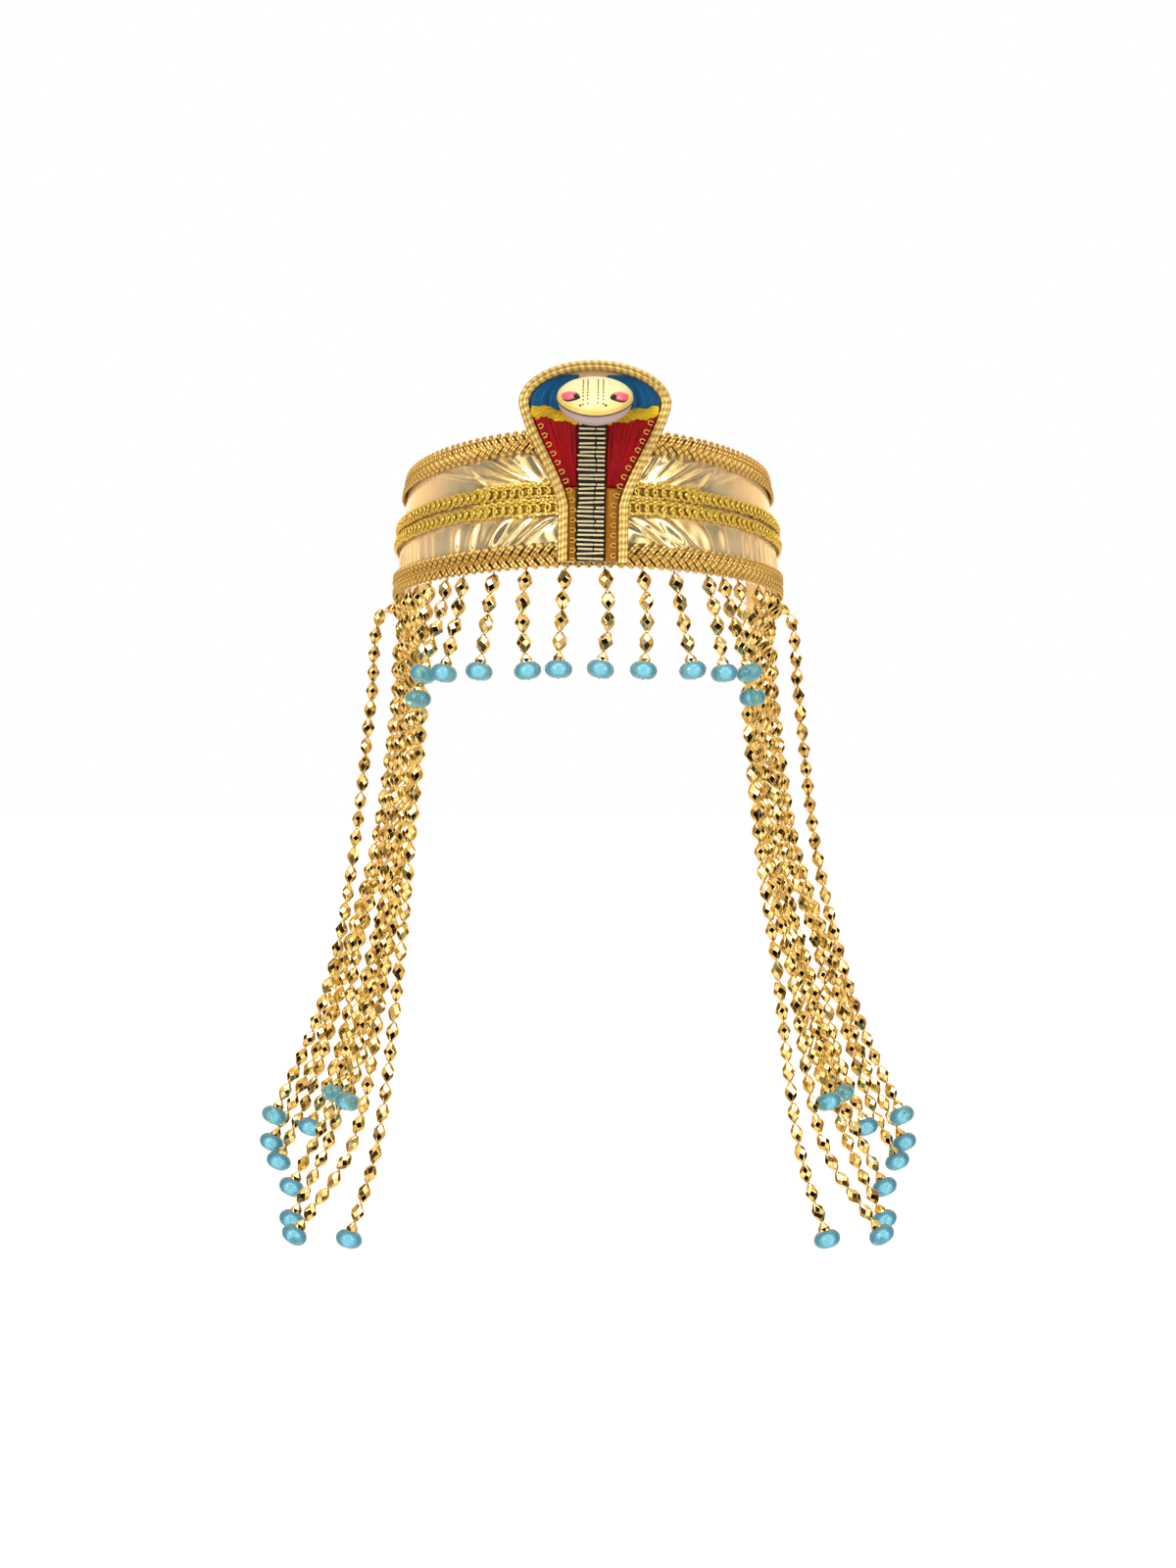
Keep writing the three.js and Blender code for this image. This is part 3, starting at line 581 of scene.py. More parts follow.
def thread_material(name, light, dark, twist, roughness, metallic, relief=0.3):
    """Metallic thread wound round a core, its furrows running slantwise; its colour is painted light,
    brighter on the ridges and darker in the furrows as painted shade.
    """
    made, tree, shader = new_material(name)
    uv = add_node(tree, "ShaderNodeUVMap", uv_map="millimetres")
    turned = add_node(tree, "ShaderNodeMapping", {0: uv.outputs[0], "Scale": (1 / twist, 1.0, 1.0)})
    wave = add_node(
        tree,
        "ShaderNodeTexWave",
        {"Vector": turned.outputs[0], "Scale": WAVE_PERIOD * math.sqrt(2), "Distortion": 0.6, "Detail": 1.0},
        bands_direction="DIAGONAL",
    )
    grime = add_node(tree, "ShaderNodeTexNoise", {"Scale": 180.0, "Detail": 3.0})
    # Painted shade: the colour darkens in the furrows of the wave and brightens on its ridges, broken up by
    # grime noise.
    furrow_shade_and_grime = add_node(
        tree, "ShaderNodeMath", {0: wave.outputs["Fac"], 1: grime.outputs["Fac"]}, operation="MULTIPLY"
    )
    shade = add_node(
        tree, "ShaderNodeMapRange", {"Value": furrow_shade_and_grime.outputs[0], "From Min": 0.05, "From Max": 0.45}
    )
    tint = add_node(
        tree,
        "ShaderNodeMix",
        {"Factor": shade.outputs[0], "A": linear(dark), "B": linear(light)},
        data_type="RGBA",
    )
    rough = add_node(
        tree,
        "ShaderNodeMapRange",
        {"Value": grime.outputs["Fac"], "To Min": roughness - 0.08, "To Max": roughness + 0.1},
    )
    bump = add_node(
        tree, "ShaderNodeBump", {"Height": wave.outputs["Fac"], "Strength": relief, "Distance": 0.0002}
    )
    set_inputs(tree, shader, {"Base Color": tint.outputs["Result"], "Metallic": metallic})
    set_inputs(tree, shader, {"Roughness": rough.outputs[0], "Normal": bump.outputs[0]})
    return made


rim_thread = thread_material("gilt_thread_plaited", "#f2d486", "#b68836", CORD_TWIST, 0.3, 0.66)
link_thread = thread_material("bright_gilt_thread_looped", "#f3dd76", "#cca638", CORD_TWIST, 0.32, 0.62)
# The rim braids' tape is near-black brown: painted shade, so that the gaps between their cords read dark.
tape_thread = thread_material("gilt_tape_woven", "#6a4a16", "#2e1c06", 1.0, 0.5, 0.4)
link_tape_thread = thread_material("bright_gilt_tape_woven", "#caa43a", "#94701e", 1.0, 0.5, 0.4)


braid_rng = np.random.default_rng(7)


def wheat_ear(share, middle, half_width, lean):
    """Hairpins of cord that slant from the middle of the braid to both its edges; lean tells which way
    along the band they slant."""
    turn = np.radians(np.linspace(80, -80, 5))
    leg = np.linspace(0, 1, 9)
    along = np.concatenate([leg, 1 + 0 * turn, leg[::-1]])
    shift = STROKE_CORD * np.concatenate([1 + 0 * leg, np.sin(turn), -1 + 0 * leg])
    tip = STROKE_CORD * np.concatenate([0 * leg, np.cos(turn), 0 * leg])
    parts = []
    for number in range(int(2 * (arc_end - STROKE_END) / STROKE_PITCH)):
        for edge in (-1, 1):
            start = STROKE_END - arc_end + STROKE_PITCH * (number + 0.25 + 0.25 * edge)
            start = start + braid_rng.normal(0, STROKE_STRAY)
            way = lean(start)
            width = half_width + 1.0 - 1.6 * STROKE_CORD + STROKE_TUCK
            slope = np.array([STROKE_REACH, 0.85 * width]) + braid_rng.normal(0, 0.2, 2)
            slope /= np.linalg.norm(slope)
            arc = start + way * (STROKE_REACH * along + tip * slope[0] - shift * slope[1])
            arc = np.clip(arc, END_MARGIN - arc_end, arc_end - END_MARGIN)
            rise = edge * (width * along**0.85 - STROKE_TUCK + tip * slope[1] + shift * slope[0])
            level = np.clip(along / 0.6, 0, 1)
            out = GAP + STROKE_CORD + STROKE_RISE * level**2 * (3 - 2 * level)
            out = out - STROKE_DIP * np.clip(along - 0.7, 0, 1)
            path = on_band(arc, share, middle + rise, out)
            parts.append(sweep(path, band_outward(arc, share), STROKE_CORD, CORD_SIDES))
    return parts


def tape(share, middle, half_width, out):
    """A flat strip of the braid's second material under the cords, its edges turned down to the lamé."""
    arc = np.linspace(1 - arc_end, arc_end - 1, round(arc_end))
    across = np.array([-1, -0.9, 0, 0.9, 1]) * half_width
    height = np.array([GAP, out, out + 0.15, out, GAP])
    points = on_band(arc[:, None], share, middle + across[None, :], height[None, :]).reshape(-1, 3)
    return points, grid_faces(len(arc), len(across))[:, ::-1], grid_uv(arc, across)[:, ::-1], 1


def chain_links(share, middle):
    """Loops of cord, each with a smaller one inside it, whose tips point towards the cobra."""
    turn = np.linspace(-math.pi, math.pi, LINK_STEPS)
    parts = []
    for side in (-1, 1):
        for place in np.arange(LINK_FIRST, arc_end - LINK_LAST, LINK_PITCH):
            tight = min(max((place - LINK_OPEN_TO + LINK_CLOSING) / LINK_CLOSING, 0.0), 1.0)
            half = LINK_FRONT_HALF + (LINK_HALF - LINK_FRONT_HALF) * tight
            swing, grow = braid_rng.normal(0, LINK_SWING), 1 + braid_rng.normal(0, LINK_GROWTH)
            place = place + braid_rng.normal(0, LINK_STRAY)
            lift = braid_rng.normal(0, LINK_SHIFT) - LINK_FRONT_SHIFT * (1 - tight)
            loops = [(1.0, LINK_CORD, 0.0), (LINK_CORE, 0.85 * LINK_CORD, 0.2)]
            for size, thick, sink in loops[: 1 + round(tight)]:
                along = grow * size * (LINK_LENGTH - 1.2 * (1 - tight)) / 2 * np.cos(turn) + (1 - size) * 0.6
                leaf = np.abs(np.sin(turn / 2)) ** (0.35 + 0.75 * tight)
                across = grow * size * (half + 0.5 * tight) * np.sin(turn) * leaf
                arc = side * (place - along + swing * across)
                rise = middle + lift + across + swing * along
                out = GAP + 0.6 + LINK_CORD + LINK_RISE * (0.5 + 0.5 * np.cos(turn)) - sink
                path = on_band(arc, share, rise, out)
                parts.append(sweep(path, band_outward(arc, share), thick, CORD_SIDES))
        arc = side * np.arange(LINK_FIRST, LINK_OPEN_TO, 0.4)
        for phase in (0.0, math.pi):
            beat = 2 * np.pi * arc / LINK_PITCH / 2 + phase
            rise = middle + WAVE_RISE + WAVE_SWING * np.sin(beat)
            path = on_band(arc, share, rise, GAP + 1.5 + 0.3 * np.cos(beat))
            parts.append(sweep(path, band_outward(arc, share), 0.9 * LINK_CORD, CORD_SIDES))
    return parts


edge_half = (EDGE_BRAID_WIDTH - GAP) / 2
edge_braids = (("bottom", 0.0, edge_half, lambda arc: 1), ("top", 1.0, -edge_half, np.sign))
for name, share, middle, lean in edge_braids:
    parts = wheat_ear(share, middle, edge_half, lean) + [tape(share, middle, edge_half - 0.6, 0.5)]
    make_piece(f"wheat_ear_{name}", parts, [rim_thread, tape_thread], [f"braid_{name}"])
middle_half = (MIDDLE_BRAID_WIDTH - GAP) / 2
for name, side in (("lower", -1), ("upper", 1)):
    parts = chain_links(MIDDLE_BRAID_SHARE, side * middle_half)
    parts.append(tape(MIDDLE_BRAID_SHARE, side * middle_half, TAPE_HALF, 0.7))
    threads = [link_thread, link_tape_thread]
    make_piece(f"chain_braid_{name}", parts, threads, [f"braid_middle_{name}"])


# Cobra hood. A stiff shape covered in lamé stands up from the band's foot, with a pale gold cord
# whipped round its edge and a row of small picot loops inside the cord.
COBRA_PLACE = (1.9, -105.1, 5.6)
COBRA_LEAN = math.radians(3.5)
COBRA_TILT = math.radians(-0.9)
HOOD_FOOT_HALF = 14.8
HOOD_HALF = 32.1
HOOD_FLARE_FROM = 24.0
HOOD_WIDEST = 67.3
HOOD_TOP = 85.8
HOOD_THICKNESS = 3.0
HOOD_ROUND = 1.1  # rounding of the covered edge
HOOD_CLOTH_FROM = 200.0  # its cloth is cut beyond the band's, so the hood takes the peach side tone of the lamé's painted light
EDGING_WIDTH = 4.2
EDGING_THICKNESS = 2.4
STITCH_PITCH = 4.25
STITCH_LENGTH = 0.6
STITCH_RADIUS = 0.28
PICOT_RADIUS = 0.9
PICOT_WIRE = 0.28
PICOT_INSET = 6.2  # from the hood's outline to the middle of a loop
PICOT_TURN = 0.78 * math.pi  # how far a loop bends round, to each side
PICOT_STRETCH = 1.25  # its length beside its width
PICOT_STEPS = 22
PICOT_LIFT = 0.35  # over the floss
PICOT_FIRST = 3.0  # along the outline from its foot
PICOT_TOP = 63.0  # height of the last loops

cobra_turn = Matrix.Rotation(math.pi / 2 - COBRA_LEAN, 3, "X") @ Matrix.Rotation(COBRA_TILT, 3, "Z")


def on_cobra(points):
    """From the cobra's frame, x across, y up and z out of the hood, to the headpiece's."""
    return np.asarray(points, float) @ np.array(cobra_turn).T + np.array(COBRA_PLACE)


def cobra_out(count):
    return np.tile(np.array(cobra_turn)[:, 2], (count, 1))


def hood_half(height, inset):
    """Half the hood's width at a height, inside an inset from its outline."""
    up = np.clip((height - HOOD_FLARE_FROM) / (HOOD_WIDEST - HOOD_FLARE_FROM), 0, 1)
    side = HOOD_FOOT_HALF + (HOOD_HALF - HOOD_FOOT_HALF) * (up + up * up * (3 - 2 * up)) / 2 - inset
    over = np.clip((height - HOOD_WIDEST) / (HOOD_TOP - HOOD_WIDEST - inset), 0, 1)
    return np.where(height > HOOD_WIDEST, (HOOD_HALF - inset) * np.sqrt(1 - over**2), side)


def hood_edge(inset, step):
    """The hood's outline from its right foot over the top to its left foot, evenly spaced."""
    heights = np.linspace(0, HOOD_WIDEST, 200)
    side = np.stack([hood_half(heights, inset), heights], axis=1)
    turn = np.linspace(0, math.pi / 2, 120)[1:]
    arch_top = HOOD_TOP - HOOD_WIDEST - inset
    arch = np.stack([(HOOD_HALF - inset) * np.cos(turn), HOOD_WIDEST + arch_top * np.sin(turn)], axis=1)
    right = np.concatenate([side, arch])
    whole = np.concatenate([right, (right * [-1, 1])[-2::-1]])
    along = run_of(whole)
    places = np.linspace(0, along[-1], round(along[-1] / step) + 1)
    return np.stack([np.interp(places, along, whole[:, k]) for k in (0, 1)], axis=1)


def with_height(flat_points, z):
    return np.column_stack([flat_points, np.broadcast_to(z, len(flat_points))])


outline = hood_edge(0, 1.2)
middle_height = np.clip(outline[:, 1], HOOD_FOOT_HALF, HOOD_WIDEST)
inward = unit(np.column_stack([np.zeros(len(outline)), middle_height]) - outline)
hood_rings = []
for inset, z in (
    (HOOD_FOOT_HALF - 1, 0.0),
    (HOOD_ROUND + 0.4, 0.0),
    (HOOD_ROUND, 0.0),
    (0.3 * HOOD_ROUND, 0.3 * HOOD_ROUND),
    (0.0, HOOD_ROUND),
    (0.0, HOOD_THICKNESS - HOOD_ROUND),
    (0.3 * HOOD_ROUND, HOOD_THICKNESS - 0.3 * HOOD_ROUND),
    (HOOD_ROUND, HOOD_THICKNESS),
    (HOOD_ROUND + 0.4, HOOD_THICKNESS),
    (HOOD_FOOT_HALF - 1, HOOD_THICKNESS),
):
    hood_rings.append(with_height(outline + inward * inset, z))
rows, columns = len(outline), len(hood_rings)
hood_points = np.stack(hood_rings, axis=1).reshape(-1, 3)
hood_uv = hood_points[:, :2] + [HOOD_CLOTH_FROM, 0]
hood_faces = [grid_faces(rows, columns)]
for ring, order in ((0, -1), (columns - 1, 1)):
    hood_faces.append((np.arange(rows) * columns + ring)[None, ::order])
foot = np.arange(columns)
hood_faces.append(np.concatenate([foot, foot + (rows - 1) * columns])[None, :])
hood_parts = [(None, faces, hood_uv[faces], 0) for faces in hood_faces]
hood_parts[0] = (on_cobra(hood_points), *hood_parts[0][1:])
make_piece("hood_cover", hood_parts, [lame], ["hood_backing"])

edging_thread = thread_material(
    "pale_gilt_braid_cord", "#d8bc70", "#ac8844", STITCH_PITCH / 2, 0.36, 0.6, relief=0.06
)
stitch_thread = thread_material("brown_sewing_thread", "#6a4a1c", "#3a2408", 0.8, 0.6, 0.1)
picot_thread = thread_material("pale_gilt_picot_thread", "#ecc868", "#b88a38", 0.8, 0.35, 0.6)
edging_z = HOOD_THICKNESS + GAP + EDGING_THICKNESS / 2
EDGING_STEP = 0.5
EDGING_FLATNESS = EDGING_THICKNESS / (0.72 * EDGING_WIDTH)
SEAM_STEP = 0.25
edging_parts = []
for inset, phase in ((0.3 * EDGING_WIDTH, 0.0), (0.7 * EDGING_WIDTH, 0.5)):
    edging_line = hood_edge(inset, EDGING_STEP)
    places = np.arange(len(edging_line)) * EDGING_STEP / STITCH_PITCH + phase
    plump = 0.32 * EDGING_WIDTH * (1 + 0.03 * np.cos(2 * np.pi * places))
    path = on_cobra(with_height(edging_line, edging_z))
    edging_parts.append(sweep(path, cobra_out(len(path)), plump, 12, EDGING_FLATNESS))
seam = hood_edge(EDGING_WIDTH / 2, SEAM_STEP)
half_stitch = round(STITCH_LENGTH / 2 / SEAM_STEP)
for index in range(8, len(seam) - 8, round(STITCH_PITCH / SEAM_STEP)):
    stitch = seam[index - half_stitch : index + half_stitch + 1]
    path = on_cobra(with_height(stitch, edging_z + 0.3 * EDGING_THICKNESS))
    edging_parts.append(sweep(path, cobra_out(len(path)), STITCH_RADIUS, 6, material=1))

FLOSS_HEIGHT = 2.0
PANEL_TOP = HOOD_THICKNESS + GAP + FLOSS_HEIGHT
picot_line = hood_edge(PICOT_INSET, SEAM_STEP)
picot_ahead = unit(np.gradient(picot_line, axis=0))
for place in np.arange(PICOT_FIRST, (len(picot_line) - 1) * SEAM_STEP, STITCH_PITCH):
    index = int(place / SEAM_STEP)
    if picot_line[index, 1] > PICOT_TOP:
        continue
    tangent = picot_ahead[index]
    inward = np.array([-tangent[1], tangent[0]])
    turn = np.linspace(-PICOT_TURN, PICOT_TURN, PICOT_STEPS)
    loop = np.outer(np.cos(turn), inward) * PICOT_STRETCH + np.outer(np.sin(turn), tangent)
    ring = picot_line[index] + PICOT_RADIUS * loop
    picot = on_cobra(with_height(ring, PANEL_TOP + PICOT_LIFT))
    edging_parts.append(sweep(picot, cobra_out(len(picot)), PICOT_WIRE, 6, material=2))
edging_threads = [edging_thread, stitch_thread, picot_thread]
make_piece("hood_cord", edging_parts, edging_threads, ["hood_edging"])


# Floss panels. Four fields of silk floss are laid side by side over the hood: mustard at the foot, then
# crimson, a wavy roll of yellow and blue at the top. The threads run up the hood and fan out with it.
BELLY_HALF = 5.9
BELLY_X = -1.0
PANEL_INSET = 4.4  # the floss runs under the cord's inner edge
PANEL_BASE = HOOD_THICKNESS + GAP / 2
FLOSS_PITCH = 0.62
FLOSS_RIDGE = 0.14
FLOSS_STRANDS = 400  # heights drawn for the threads of one panel
FLOSS_UNEVEN = 0.05  # how unlike these heights are
FLOSS_WANDER = 0.35  # how far a thread wanders sideways, in threads
FLOSS_BULGE = 0.25  # of the middle of a panel
FLOSS_ROWS = 40
PANEL_EDGE = 1.0  # where the floss turns down at its border
floss_rng = np.random.default_rng(11)


def floss_material(name, light, dark, roughness, streak):
    """Silk floss: a smooth shine along the threads, with lighter and darker strands."""
    made, tree, shader = new_material(name)
    uv = add_node(tree, "ShaderNodeUVMap", uv_map="millimetres")
    drawn = add_node(tree, "ShaderNodeMapping", {0: uv.outputs[0], "Scale": (0.05, 1.1, 1.0)})
    strands = add_node(tree, "ShaderNodeTexNoise", {"Vector": drawn.outputs[0], "Scale": 1.0, "Detail": 4.0})
    shade = add_node(
        tree,
        "ShaderNodeMapRange",
        {"Value": strands.outputs["Fac"], "From Min": 0.5 - streak, "From Max": 0.5 + streak},
    )
    tint = add_node(
        tree,
        "ShaderNodeMix",
        {"Factor": shade.outputs[0], "A": linear(dark), "B": linear(light)},
        data_type="RGBA",
    )
    fine = add_node(
        tree,
        "ShaderNodeTexWave",
        {"Vector": uv.outputs[0], "Scale": WAVE_PERIOD / (FLOSS_PITCH / 2), "Distortion": 1.0},
        bands_direction="Y",
    )
    bump = add_node(
        tree, "ShaderNodeBump", {"Height": fine.outputs["Fac"], "Strength": 0.4, "Distance": 0.00015}
    )
    set_inputs(tree, shader, {"Base Color": tint.outputs["Result"], "Normal": bump.outputs[0]})
    set_inputs(tree, shader, {"Roughness": roughness, "Specular IOR Level": 0.12})
    return made


def wavy(x, size, phase):
    return size * (np.sin(0.55 * x + phase) + 0.5 * np.sin(1.3 * x + 2 * phase))


# colour, foot and top beside the belly, foot and top beside the cord, waviness at the top, height
PANELS = [
    ("mustard", 0.8, 31.9, 0.8, 31.9, 0.25, 1.7),
    ("red", 32.0, 60.2, 32.0, 63.0, 0.5, 2.0),
    ("blue", 62.0, 80.0, 65.0, 80.0, 0.0, 1.9),
]
FLOSS = {
    "mustard": floss_material("mustard_silk_floss", "#ae7218", "#6e4006", 0.45, 0.22),
    "red": floss_material("crimson_silk_floss", "#ac000c", "#480004", 0.45, 0.2),
    "blue": floss_material("blue_silk_floss", "#0d5682", "#062c4c", 0.45, 0.22),
    "yellow": floss_material("yellow_silk_floss", "#f2cf24", "#7c5a0c", 0.4, 0.16),
}


def floss_panel(sign, inner_foot, inner_top, outer_foot, outer_top, wave, height, phase):
    """A field of upright threads between the belly and the cord, on one side of the hood."""
    inner = BELLY_HALF + sign * BELLY_X + 0.1
    widest = float(hood_half(np.array(min(outer_top, HOOD_WIDEST)), PANEL_INSET)) - inner
    columns = max(24, int(4 * widest / FLOSS_PITCH))
    u = np.linspace(0, 1, columns)
    v = np.linspace(0, 1, FLOSS_ROWS)
    u_grid, v_grid = np.meshgrid(u, v)
    foot = inner_foot + (outer_foot - inner_foot) * u_grid
    top = inner_top + (outer_top - inner_top) * u_grid + wavy(u_grid * widest, wave, phase)
    y = foot + (top - foot) * v_grid
    outer = np.maximum(hood_half(y, PANEL_INSET), inner + 0.3)
    x = inner + (outer - inner) * u_grid
    strands = floss_rng.normal(0, FLOSS_UNEVEN, FLOSS_STRANDS)
    number = u_grid * widest / FLOSS_PITCH + FLOSS_WANDER * np.sin(3 * v_grid + phase)
    ridge = FLOSS_RIDGE * np.abs(np.sin(np.pi * number)) + strands[number.astype(int) % FLOSS_STRANDS]
    border = np.minimum.reduce([x - inner, outer - x, y - foot, top - y])
    crown = np.sqrt(np.clip(border / PANEL_EDGE, 0.0, 1.0))
    bulge = FLOSS_BULGE * np.sin(np.pi * u_grid) * np.sin(np.pi * v_grid)
    z = PANEL_BASE + (height + ridge) * crown + bulge
    points = np.stack([sign * x, y, z], axis=-1).reshape(-1, 3)
    faces = grid_faces(FLOSS_ROWS, columns)
    if sign > 0:
        faces = faces[:, ::-1]
    corners = np.stack([y, u_grid * widest], axis=-1).reshape(-1, 2)[faces]
    return on_cobra(points), faces, corners, 0


for phase, (colour, *edges, wave, height) in enumerate(PANELS):
    for side, sign in (("left", -1), ("right", 1)):
        part = floss_panel(sign, *edges, wave, height, 1.3 * phase + sign)
        label = f"{colour}_{side}"
        make_piece(f"floss_{label}", [part], [FLOSS[colour]], [f"panel_{label}"])

# The yellow field is a thick roll of twisted floss, laid in waves between the crimson and the blue.
ROLL_HALF = 2.7
ROLL_PLIES = 5
ROLL_TURN = 13.0  # length of one turn of its plies
ROLL_FOOT = 60.8  # height of its middle beside the belly
ROLL_CLIMB = 3.6  # from there to the cord
ROLL_MEETS = 64.0  # height at which it meets the cord
ROLL_SINK = 0.5
ROLL_STEPS = 70
for side, sign in (("left", -1), ("right", 1)):
    inner = BELLY_HALF + sign * BELLY_X
    outer = float(hood_half(np.array(ROLL_MEETS), PANEL_INSET)) - 0.2
    x = np.linspace(inner, outer, ROLL_STEPS)
    run = (x - inner) / (outer - inner)
    y = ROLL_FOOT + ROLL_CLIMB * run + 0.5 * np.sin(0.75 * x + sign)
    thick = ROLL_HALF * np.clip(np.minimum(run, 1 - run) * 8 + 0.55, 0, 1)
    roll = []
    for ply in range(ROLL_PLIES):
        turn = 2 * np.pi * (x / ROLL_TURN + ply / ROLL_PLIES)
        z = PANEL_TOP - ROLL_SINK + 0.45 * thick * np.sin(turn)
        middle = on_cobra(np.stack([sign * x, y + 0.5 * thick * np.cos(turn), z], axis=1))
        roll.append(sweep(middle, cobra_out(len(x)), 0.46 * thick, 14, 0.7))
    make_piece(f"floss_roll_{side}", roll, [FLOSS["yellow"]], [f"panel_yellow_{side}"])


# Belly column. Rows of cream bugle beads, two in a row, are sewn across a strip of black felt down the
# middle of the hood, so that dark lines show between the rows and beside the shorter beads.
BELLY_FROM = 0.8
BELLY_TO = 61.5
BELLY_ROWS = 31
BUGLE_RADIUS = 0.46
BUGLE_SPLIT = 1.5  # where the two beads of a row meet
BUGLE_SIDES = 10
BUGLE_SLOPE = 0.03  # how far the rows lie aslant
BUGLE_DRIFT = 0.14  # and out of step
SPLIT_STRAY = 0.35
LEFT_STRAY = 0.25  # of the beads' left ends
RIGHT_STRAY = 0.1
LIFT_STRAY = 0.06
FELT_HEIGHT = 2.1  # of the padded black strip
STRIP_STEPS = 60
belly_rng = np.random.default_rng(5)


def mottled(name, dark, light, scale, detail, surface):
    """A material whose colour drifts between two tints in small patches; surface gives other inputs of
    its shader. Returns the material, its tree, its shader and the pattern."""
    made, tree, shader = new_material(name)
    pattern = add_node(tree, "ShaderNodeTexNoise", {"Scale": scale, "Detail": detail}).outputs["Fac"]
    tint = add_node(
        tree, "ShaderNodeMix", {"Factor": pattern, "A": linear(dark), "B": linear(light)}, data_type="RGBA"
    )
    set_inputs(tree, shader, {"Base Color": tint.outputs["Result"], **surface})
    return made, tree, shader, pattern


# Black felt: matted wool fibres with a dull, rough face.
matt = {"Roughness": 0.9}
black_felt, tree, shader, fibre = mottled("black_wool_felt", "#060504", "#16110b", 900.0, 4.0, matt)
bump = add_node(tree, "ShaderNodeBump", {"Height": fibre, "Strength": 0.6, "Distance": 0.0002})
set_inputs(tree, shader, {"Normal": bump.outputs[0]})

# Cream bugle: a cut length of opaque glass tube with a fired pearl lustre, brighter along its top.
lustre = {"Metallic": 0.25, "Roughness": 0.22, "Coat Weight": 0.6, "Coat Roughness": 0.08}
bugle_glass = mottled("cream_glass_lustred", "#ac9862", "#f8ebc2", 260.0, 2.0, lustre)[0]


def capsule(start, end, radius, sides, outward):
    """A short rod with rounded ends."""
    t = np.array([0.0, 0.03, 0.1, 0.5, 0.9, 0.97, 1.0])
    grow = np.array([0.35, 0.75, 1.0, 1.0, 1.0, 0.75, 0.35])
    line = np.asarray(start) + np.outer(t, np.asarray(end) - np.asarray(start))
    rod = sweep(line, np.tile(outward, (len(t), 1)), radius * grow, sides)
    first = np.arange(sides)[None, :]
    last = first + len(rod[0]) - sides
    return [rod, (None, first, None, 0), (None, last[:, ::-1], None, 0)]


strip_y = np.linspace(BELLY_FROM, BELLY_TO, STRIP_STEPS)
strip_x = np.array([-1, -0.97, -0.5, 0, 0.5, 0.97, 1]) * BELLY_HALF
strip_z = PANEL_BASE + FELT_HEIGHT * np.array([0, 0.85, 1, 1.05, 1, 0.85, 0])
strip_points = np.stack(
    np.broadcast_arrays(BELLY_X + strip_x[None, :], strip_y[:, None], strip_z[None, :]), axis=-1
)
strip_faces = grid_faces(STRIP_STEPS, len(strip_x))[:, ::-1]
belly_parts = [(on_cobra(strip_points.reshape(-1, 3)), strip_faces, None, 1)]
row_pitch = (BELLY_TO - BELLY_FROM) / BELLY_ROWS
out_of_hood = cobra_out(1)[0]
for row in range(BELLY_ROWS):
    y = BELLY_FROM + row_pitch * (row + 0.5)
    slope, drift = belly_rng.normal(0, BUGLE_SLOPE), belly_rng.normal(0, BUGLE_DRIFT)
    split = BUGLE_SPLIT + belly_rng.normal(0, SPLIT_STRAY)
    for left, right in ((-BELLY_HALF + 0.3, split - 0.1), (split + 0.1, BELLY_HALF - 0.35)):
        left = left + belly_rng.normal(0, LEFT_STRAY)
        right = right + belly_rng.normal(0, RIGHT_STRAY)
        z = PANEL_BASE + FELT_HEIGHT + BUGLE_RADIUS * 0.8 + belly_rng.normal(0, LIFT_STRAY)
        ends = on_cobra([(BELLY_X + x, y + drift + slope * x, z) for x in (left, right)])
        belly_parts += capsule(ends[0], ends[1], BUGLE_RADIUS, BUGLE_SIDES, out_of_hood)
make_piece("bugle_column", belly_parts, [bugle_glass, black_felt], ["belly_column"])


# Cobra head. The head is a padded cloth form painted pale gold above the mouth and mauve below it, with
# four rows of small black stitches over the snout and two polished red stones for eyes.
HEAD_HALF_WIDTH = 15.8
HEAD_HALF_LENGTH = 16.0
HEAD_RISE = 9.0
HEAD_TAPER = 0.1
HEAD_POINTING = 0.06
JAW_DEPTH = 6.5
JAW_SHARE = 0.97
HEAD_PITCH = math.radians(54)
HEAD_MIDDLE = 64.4
HEAD_STANDOFF = 18.9
HEAD_SIDES = 72
LIP_SHARE = 0.14  # height of the rolled lip beside the whole head's
LIP_BULGE = 0.03
DOME_POWER = 1.15  # over 1 draws the dome to a point
DOME_SPREAD = 0.8  # under 1 keeps its sides full
DOT_HEIGHT = 0.4  # of painted dots and stitches
EYE_RADII = (4.9, 2.5, 2.1)
EYE_RIM_RADII = (5.2, 2.75, 1.6)
EYE_OUT = 10.2
EYE_FORWARD = 6.6
EYE_LIFT = 6.0
EYE_SLANT = math.radians(30)  # as the front sees it
PUPIL_RADII = (1.25, 1.1, 1.0)
PUPIL_IN = 3.6
PUPIL_LIFT = 0.85
MOUTH_RISE = 1.6  # of the painted mouth over the middle of the form
STITCH_PITCH_SNOUT = 1.9
STITCH_RUN = (-4.0, 13.5)  # along the snout
STITCH_RADII = (0.34, 0.42)
NOSTRIL_RADII = (0.6, 0.6)
JAW_MARK_RADII = (0.75, 0.5)
MOUTH_LINE_RADIUS = 0.32
MOUTH_LINE_SHARE = 0.985  # of the head's half width and length
NOSTRILS = ((-6.0, 13.0), (4.4, 13.4))  # across and along the snout
JAW_MARKS = ((-4.6, 10.5), (7.4, 9.0))
STITCH_ROWS = (-4.9, -3.0, 1.2, 3.4)  # across the snout
head_turn = np.array(Matrix.Rotation(math.pi / 2 - HEAD_PITCH, 3, "X"))


